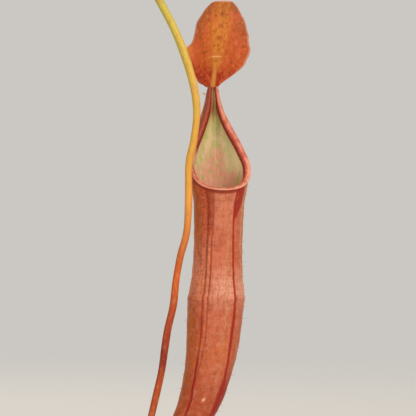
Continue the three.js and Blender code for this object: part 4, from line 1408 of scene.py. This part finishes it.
# %% Leaf finish
VEINS = ("ladder", 0.012, 0.002)
UNDERSIDE = ("#92985a", [("#a3714a", 0.7, blotches(7, 0.42, 0.65, seed=3))])
leaf_finish = finish(
    "leathery leaf",
    "#6a8434",
    [
        ("#87964a", 0.9, blotches(8, 0.35, 0.65)),
        (UNDERSIDE, "under"),
        ("#a9a044", 0.6, ("share", 0.6, 1)),
        ("#aeb46c", 0.4, VEINS),
        ("#5d7030", 0.5, blotches(1.1, 0.5, 0.68, detail=4, seed=6)),
        ("#8a5a34", 0.6, blotches(2.2, 0.64, 0.72, detail=4, seed=12)),
        ("#8f5834", 0.75, ("ragged", 0.965, 1.01)),
        ("#b4a95a", 0.85, ("off_midrib", 1.5, 0.7)),
        ("#8c7c3c", ("share", 0.24, 0.12)),
        ("#bfa844", ("share", 0.93, 0.99)),
        ("#a5683c", 0.3, blotches(2.5, 0.5, 0.7, seed=2)),
    ],
    measures={
        "from_middle": ("ABSOLUTE", "across"),
        "off_midrib": ("ABSOLUTE", "aside"),
        "wavering": ("MULTIPLY_ADD", {"size": 6}, 0.04, "from_middle"),
        "ladder": ("PINGPONG", "wavering", 0.085),
        "ragged": ("MULTIPLY_ADD", {"size": 3, "seed": 8}, 0.05, "from_middle"),
        "netted": ("SUBTRACT", {"size": 0.9, "detail": 4}, VEINS),
    },
    bump="netted", depth=0.18, roughness=0.42, coat=0.12,
)

# %% The arch of a leaf
LEAF_SEAT = 1.3
RISE_HANDLE = 0.52
DROOP_HANDLE = 0.36
LEAF_FOLD = 0.28
LEAF_ROWS = 104
LEAF_TIP_ROWS = 14
LEAF_SIDE_POINTS = 49
LEAF_OUTLINE = [(0, 0.17), (0.12, 0.2), (0.3, 0.72), (0.5, 1), (0.72, 0.86), (0.9, 0.36), (1, 0.1)]


def leaf_arch(index, t):
    """Points along a blade's midrib, and the ways to its side and out of its upper face."""
    leaf = LEAVES[index]
    outward = np.array([math.cos(azimuth(index)), math.sin(azimuth(index)), 0])
    base = FIRST_LEAF_HEIGHT + LEAF_SPACING * index
    foot = stem_centre(base) + outward * (stem_radius(base) + LEAF_SEAT)
    tip = leaf_tip(index)
    span = np.linalg.norm(tip - foot)
    rise, droop = (
        outward * math.cos(math.radians(slope)) + [0, 0, math.sin(math.radians(slope))]
        for slope in (leaf["rise"], leaf["droop"])
    )
    first, second = foot + rise * RISE_HANDLE * span, tip - droop * DROOP_HANDLE * span
    t = t[:, None]
    point = foot * (1 - t) ** 3 + 3 * first * t * (1 - t) ** 2 + 3 * second * t**2 * (1 - t) + tip * t**3
    ahead = (first - foot) * (1 - t) ** 2 + 2 * (second - first) * t * (1 - t) + (tip - second) * t**2
    ahead = unit(ahead)
    side = unit(np.cross(ahead, (0, 0, 1)))
    return point, side, np.cross(side, ahead)


# %% Make the blades
def make_leaf(index):
    leaf = LEAVES[index]
    t = np.append(np.linspace(-0.012, 0.95, LEAF_ROWS), np.linspace(0.95, 1, LEAF_TIP_ROWS)[1:])
    point, side, top = leaf_arch(index, t)
    roll = (0.16 * np.sin(2.6 * t + 2.1 * index) * eased(t, 0.15, 0.4) * (1 - eased(t, 0.8, 1)))[:, None]
    side, top = side * np.cos(roll) + top * np.sin(roll), top * np.cos(roll) - side * np.sin(roll)
    across, face = lens(LEAF_SIDE_POINTS)
    a, share = np.meshgrid(across, t)
    closing = 1 - 0.3 * eased(share, 0.982, 1)
    width = leaf["half_width"] * along(LEAF_OUTLINE, share)
    blade = eased(share, 0.15, 0.32) * (1 - eased(share, 0.84, 0.96))
    wavy_edge = 1 + 0.025 * blade * np.sin(26 * share + 3 * np.sign(a) + index)
    aside = a * width * wavy_edge * closing
    thick = 0.42 + 0.95 * (1 - eased(share, 0.08, 0.24)) + 1.1 * eased(share, 0.88, 0.99)
    thick = thick * np.sqrt(np.maximum(1 - a**4, 0)) * closing
    keel = 1.1 * hump(aside, 0, 1.3) * (1 - eased(share, 0.9, 0.98))
    groove = 0.45 * hump(aside, 0, 0.9) * (1 - eased(share, 0.9, 0.97))
    out = np.where(face > 0, thick - groove, -thick - keel)
    fold = LEAF_FOLD * width * (np.sqrt(a**2 + 0.01) - 0.1) - 0.1 * width * a**2 * blade
    ripple = 1.2 * blade * np.abs(a) ** 3 * np.sin(17 * share + 2.2 * np.sign(a) + 1.3 * index)
    height = out + fold + ripple
    rings = point[:, None] + side[:, None] * aside[..., None] + top[:, None] * height[..., None]
    marks = {"across": a, "share": share, "aside": aside, "under": (face < 0).astype(float)[None]}
    made = skin(f"leaf_{index + 1}_blade", rings, **marks)
    dress(made, [leaf_finish], [f"leaf_{index + 1}"])


for index in range(len(LEAVES)):
    make_leaf(index)

# %% [markdown]
# ## The rolled new leaf
# The newest leaf is still rolled into a spear at the stem's top. Its rings are a spiral rather than a
# circle: the radius grows round the ring, and drops back in one step where the free edge
# lies over the roll. A slow twist carries that edge round the spear.

# %% Shoot finish and the rolled new leaf
SHOOT_LENGTH = 58
SHOOT_RADIUS = 3
SHOOT_WIDTH = [(0, 0.75), (0.25, 1), (0.6, 0.7), (0.93, 0.24), (1, 0.1)]
SHOOT_TWIST = 1.5
SHOOT_RINGS = 150
SHOOT_SIDES = 48


# A leaf that hasn't opened is still fresh green, reddens towards its tip and has a soft gloss.
shoot_finish = finish(
    "fresh rolled leaf",
    "#84984a",
    [
        ("#a9683c", ("level", 0.5, 1.15)),
        ("#a9b060", 0.6, blotches(0.8, 0.45, 0.65, stretch=(1, 1, 12), detail=4)),
        ("#9a5a34", 0.7, "edge"),
    ],
    measures={"level": ("MULTIPLY_ADD", {"size": 5, "stretch": (1, 1, 2)}, 0.3, "share")},
    bump={"size": 0.7, "stretch": (1, 1, 10)}, depth=0.12, roughness=0.45, coat=0.1,
)


def make_shoot():
    t = np.linspace(0, 1, SHOOT_RINGS)
    foot = stem_centre(STEM_TOP)
    path = foot + np.stack([3 * t**2, -2 * t**2, SHOOT_LENGTH * t - 1], axis=-1)
    roll = np.linspace(0, 1, SHOOT_SIDES, endpoint=False)
    radii = SHOOT_RADIUS * along(SHOOT_WIDTH, t)[:, None] * (0.86 + 0.22 * roll)
    rings = tube_rings(path, radii, SHOOT_SIDES, twist=SHOOT_TWIST)
    edge = eased(roll, 0.9, 1)
    shoot = skin("rolled_new_leaf_spear", rings, share=t[:, None], edge=edge[None])
    dress(shoot, [shoot_finish], ["rolled_new_leaf"])


make_shoot()

# %% [markdown]
# ## Pot
# The pot is plain unglazed terracotta, turned on a wheel: a tapered wall, a deep band at the top and four
# drain holes. A profile with rounded corners, turned about the axis, gives it. Slow unevenness and
# fine turning marks keep it from looking machined. The holes are cut by a Boolean.

# %% Terracotta
# Fired clay: matt and porous, with grit, pale lime bloom where water dries, and darker towards the foot.
terracotta = finish(
    "unglazed terracotta",
    "#b96a48",
    [
        ("#a85a3c", 0.9, blotches(14, 0.35, 0.65, stretch=(2, 2, 1))),
        ("#c9825f", 0.5, blotches(1.3, 0.45, 0.7, stretch=(14, 14, 1), detail=4)),
        ("#8a4a32", 0.6, blotches(0.6, 0.6, 0.72, detail=2, seed=5)),
        ("#dcae90", 0.6, blotches(0.8, 0.64, 0.74, detail=2, seed=9)),
        ("#85452f", 0.5, ("level", 75, 25)),
        ("#dcc3b0", 0.55, ("crusty", 0.24, 0.4), ("level", 110, 20)),
        ("#d29677", 0.5, "edge"),
    ],
    measures={
        "level": ("MULTIPLY_ADD", {"size": 22, "stretch": (1, 1, 0.6)}, 60, "height"),
        "patchy": {"size": 20, "stretch": (1, 1, 0.6), "seed": 3},
        "crusty": ("MULTIPLY", "patchy", {"size": 1.2, "stretch": (3, 3, 1), "detail": 4, "seed": 1}),
        "turned": ("MULTIPLY_ADD", {"size": 1, "stretch": (16, 16, 1)}, 1.2, {"size": 0.7, "detail": 4}),
    },
    bump="turned", depth=0.25, roughness=0.88,
)

# %% Measures of the pot
POT_HEIGHT = 112
POT_BASE_RADIUS = 46
POT_NECK_RADIUS = 61
POT_BAND_RADIUS = 65
POT_BAND_FOOT = 88
POT_WALL = 5
POT_FLOOR = 7
POT_SIDES = 128
DRAIN_RADIUS = 5
DRAIN_CIRCLE = 27


# %% Profile and drains
def pot_outside(height):
    return POT_BASE_RADIUS + (POT_NECK_RADIUS - POT_BASE_RADIUS) * height / POT_HEIGHT


def rounded_profile(corners, spacing):
    """A line through (radius, height, rounding) corners, each cut off by a smooth bend."""
    corners = np.array(corners, float)
    points = [corners[0, :2]]
    for before, corner, after in zip(corners, corners[1:], corners[2:]):
        start, end = (corner[:2] + corner[2] * unit(other[:2] - corner[:2]) for other in (before, after))
        count = max(int(np.linalg.norm(start - points[-1]) / spacing), 1)
        points += list(np.linspace(points[-1], start, count + 1)[1:])
        bend = np.linspace(0, 1, 7)[1:, None]
        points += list(start * (1 - bend) ** 2 + 2 * corner[:2] * bend * (1 - bend) + end * bend**2)
    count = int(np.linalg.norm(corners[-1, :2] - points[-1]) / spacing)
    return np.array(points + list(np.linspace(points[-1], corners[-1, :2], count + 1)[1:]))


def drain_cutter():
    shape = bmesh.new()
    radius = DRAIN_RADIUS * MM
    sizes = {"segments": 32, "radius1": radius, "radius2": radius, "depth": 3 * POT_FLOOR * MM}
    for turn in np.arange(4) * math.pi / 2:
        place = Matrix.Translation(Vector((math.cos(turn), math.sin(turn), 0)) * DRAIN_CIRCLE * MM)
        bmesh.ops.create_cone(shape, cap_ends=True, matrix=place, **sizes)
    mesh = bpy.data.meshes.new("drain_cutter")
    shape.to_mesh(mesh)
    shape.free()
    return place_object("drain_cutter", mesh)


# %% Turn the pot
def make_pot():
    inside = pot_outside(POT_HEIGHT) - POT_WALL
    profile = rounded_profile(
        [
            (0.5, 0, 0), (POT_BASE_RADIUS, 0, 1.4), (pot_outside(POT_BAND_FOOT), POT_BAND_FOOT, 1.2),
            (POT_BAND_RADIUS - 0.7, POT_BAND_FOOT + 0.4, 1.6), (POT_BAND_RADIUS, POT_HEIGHT, 2),
            (inside, POT_HEIGHT, 2), (pot_outside(POT_FLOOR) - POT_WALL, POT_FLOOR, 3), (0.5, POT_FLOOR, 0),
        ],
        spacing=1.4,
    )
    rings = turned_rings(profile, POT_SIDES)
    turn = np.linspace(0, 2 * np.pi, POT_SIDES, endpoint=False)
    radius, height = profile[:, :1], profile[:, 1:]
    ridges = np.array([[noise.noise((0, 3 + r / 40, h * 0.4))] for r, h in profile])
    uneven = 0.12 * np.sin(3 * turn + 0.02 * height) + 0.08 * np.sin(7 * turn - 0.05 * height) + 0.22 * ridges
    uneven = uneven * eased(height, 0, 6) * eased(radius, 10, 40)
    rings[..., 0] += uneven * np.cos(turn)
    rings[..., 1] += uneven * np.sin(turn)
    lip = hump(height, POT_HEIGHT, 1.1) + hump(height, POT_BAND_FOOT + 0.6, 0.9) * eased(radius, 60, 62)
    pot = skin("pot_turned", rings, height=height, edge=np.clip(lip + hump(height, 0.5, 0.8), 0, 1))
    cutter = drain_cutter()
    cut = pot.modifiers.new("drains", "BOOLEAN")
    cut.object = cutter
    cut.solver = "EXACT"
    graph = bpy.context.evaluated_depsgraph_get()
    holed = bpy.data.meshes.new_from_object(pot.evaluated_get(graph), depsgraph=graph)
    pot.modifiers.remove(cut)
    pot.data = holed
    pot.data.set_sharp_from_angle(angle=math.radians(50))
    bpy.data.objects.remove(cutter)
    dress(pot, [terracotta], ["pot"])


make_pot()

# %% [markdown]
# ## Potting mix
# Pitcher plants grow in an open, airy mix: peat with bark chips, white perlite and dried moss. The
# peat is one body that fills the pot, with a crumbly top. Two trees scatter the rest over it:
# one makes rough lumps, for bark and for perlite, and one lays thin bent strands of moss.

# %% Mix finishes
# Damp peat is dull and nearly black in its pores, bark is brown and flaky, perlite is a chalky white
# foam, and dried moss is the colour of straw.
peat = two_tone("damp peat", "#4a3524", "#2c2017", 2, 0.95, depth=0.5, detail=5)
bark_chip = two_tone("composted pine bark", "#7d5737", "#4a2f1d", 1.5, 0.85, depth=0.3, detail=4)
perlite = two_tone("expanded perlite", "#eeeae2", "#cfc8bb", 0.8, 0.8, depth=0.2)
dried_moss = two_tone("dried moss", "#b5a377", "#8a7550", 3, 0.85)

# %% The lump tree
LUMP_TURN = (0.5, 0.5, 2 * math.pi)
STRAND_TURN = (0.2, 0.2, 2 * math.pi)
LITTER_SCALES = (0.55, 1.45)
STRAND_BEND = ((-0.5, 0, -0.03), (0.1, 0.35, 0.12), (0.5, -0.05, -0.03))  # shares of its length


def make_lump_tree():
    sizes = {"Per Square Metre": 3e4, "Length": 7 * MM, "Width Share": 0.65, "Height Share": 0.45}
    tree, given = growth_tree("lumps", {**sizes, "Ruggedness": 0.6, "Seed": 1})
    width, height, depth = (
        node(tree, "ShaderNodeMath", {0: given["Length"], 1: given[share]}, operation="MULTIPLY")
        for share in ("Width Share", "Height Share", "Ruggedness")
    )
    size = node(tree, "ShaderNodeCombineXYZ", {"X": given["Length"], "Y": width, "Z": height})
    ball = node(tree, "GeometryNodeMeshUVSphere", {"Segments": 8, "Rings": 5, "Radius": 0.5})
    block = node(tree, "GeometryNodeTransform", {"Geometry": ball, "Scale": size})
    strewn = scattered(tree, given, "open", block, LUMP_TURN, LITTER_SCALES)
    lumps = node(tree, "GeometryNodeRealizeInstances", {"Geometry": strewn})
    place = node(tree, "GeometryNodeInputPosition")
    pitch = node(tree, "ShaderNodeMath", {0: 2.2, 1: given["Length"]}, operation="DIVIDE")
    wobble = node(tree, "ShaderNodeTexNoise", {"Vector": place, "Scale": pitch, "Detail": 2}).outputs["Color"]
    centred = node(tree, "ShaderNodeVectorMath", {0: wobble, 1: (0.5, 0.5, 0.5)}, operation="SUBTRACT")
    offset = node(tree, "ShaderNodeVectorMath", {0: centred, "Scale": depth}, operation="SCALE")
    rough = node(tree, "GeometryNodeSetPosition", {"Geometry": lumps, "Offset": offset})
    return end_tree(tree, given, rough, smooth=False)


# %% The strand tree
def make_strand_tree():
    sizes = {"Per Square Metre": 3e4, "Length": 15 * MM, "Thickness": 0.6 * MM, "Seed": 3}
    tree, given = growth_tree("strands", sizes)
    start, middle, end = (
        node(tree, "ShaderNodeVectorMath", {0: place, "Scale": given["Length"]}, operation="SCALE")
        for place in STRAND_BEND
    )
    bend = {"Start": start, "Middle": middle, "End": end, "Resolution": 8}
    line = node(tree, "GeometryNodeCurveQuadraticBezier", bend)
    radius = node(tree, "ShaderNodeMath", {0: given["Thickness"], 1: 0.5}, operation="MULTIPLY")
    section = node(tree, "GeometryNodeCurvePrimitiveCircle", {"Resolution": 4, "Radius": radius})
    inputs = {"Curve": line, "Profile Curve": section, "Fill Caps": True}
    strand = node(tree, "GeometryNodeCurveToMesh", inputs)
    return end_tree(tree, given, scattered(tree, given, "open", strand, STRAND_TURN, LITTER_SCALES))


# %% Measures of the mix
MIX_EDGE_HEIGHT = 98
MIX_HEAP = [(0, MIX_HEAP_HEIGHT), (4.9, MIX_HEAP_HEIGHT), (27, 100.4), (54, MIX_EDGE_HEIGHT)]
MIX_SEAT = 0.15
MIX_TOP_RINGS = 90
MIX_WALL_RINGS = 30
MIX_FLOOR_RINGS = 12
MIX_SIDES = 120
LITTER = [
    # (name, tree, finish, inputs)
    ("bark_chips", "lump", bark_chip, {"Length": 7 * MM, "Per Square Metre": 4.2e4, "Seed": 4}),
    (
        "perlite", "lump", perlite,
        {"Length": 2.6 * MM, "Per Square Metre": 2.4e4, "Seed": 8, "Width Share": 0.9, "Height Share": 0.8},
    ),
    ("moss_strands", "strand", dried_moss, {"Per Square Metre": 2.2e4, "Seed": 6}),
]


# %% Heap the mix
def make_mix():
    edge = pot_outside(MIX_EDGE_HEIGHT) - POT_WALL - MIX_SEAT
    foot = pot_outside(POT_FLOOR) - POT_WALL - 1.2
    top = np.linspace(0.6, edge, MIX_TOP_RINGS)
    wall = np.linspace(edge, foot, MIX_WALL_RINGS)[1:]
    floor = np.linspace(foot, 0.6, MIX_FLOOR_RINGS)[1:]
    radius = np.concatenate([top, wall, floor])
    down = np.linspace(MIX_EDGE_HEIGHT, POT_FLOOR + 1, MIX_WALL_RINGS)[1:]
    height = np.concatenate([along(MIX_HEAP, top), down, np.full(len(floor), POT_FLOOR + MIX_SEAT)])
    rings = turned_rings(np.column_stack([radius, height]), MIX_SIDES)
    for ring in rings[: MIX_TOP_RINGS - 1]:
        for point in ring:
            coarse = noise.noise((point[0] * 0.16, point[1] * 0.16, 0))
            fine = noise.noise((point[0] * 0.6, point[1] * 0.6, 9))
            point[2] += 1.3 * coarse + 0.6 * fine
    clear = eased(radius, 6, 8) * (1 - eased(radius, edge - 6, edge - 4.5))
    clear[MIX_TOP_RINGS:] = 0
    mix = skin("potting_mix_peat", rings, open=clear[:, None])
    trees = {"lump": make_lump_tree(), "strand": make_strand_tree()}
    strewn = [
        grown(f"potting_mix_{name}", mix, trees[kind], Material=material, **inputs)
        for name, kind, material, inputs in LITTER
    ]
    dress(mix, [peat], ["potting_mix"])
    for piece in strewn:
        dress(piece, [])


make_mix()
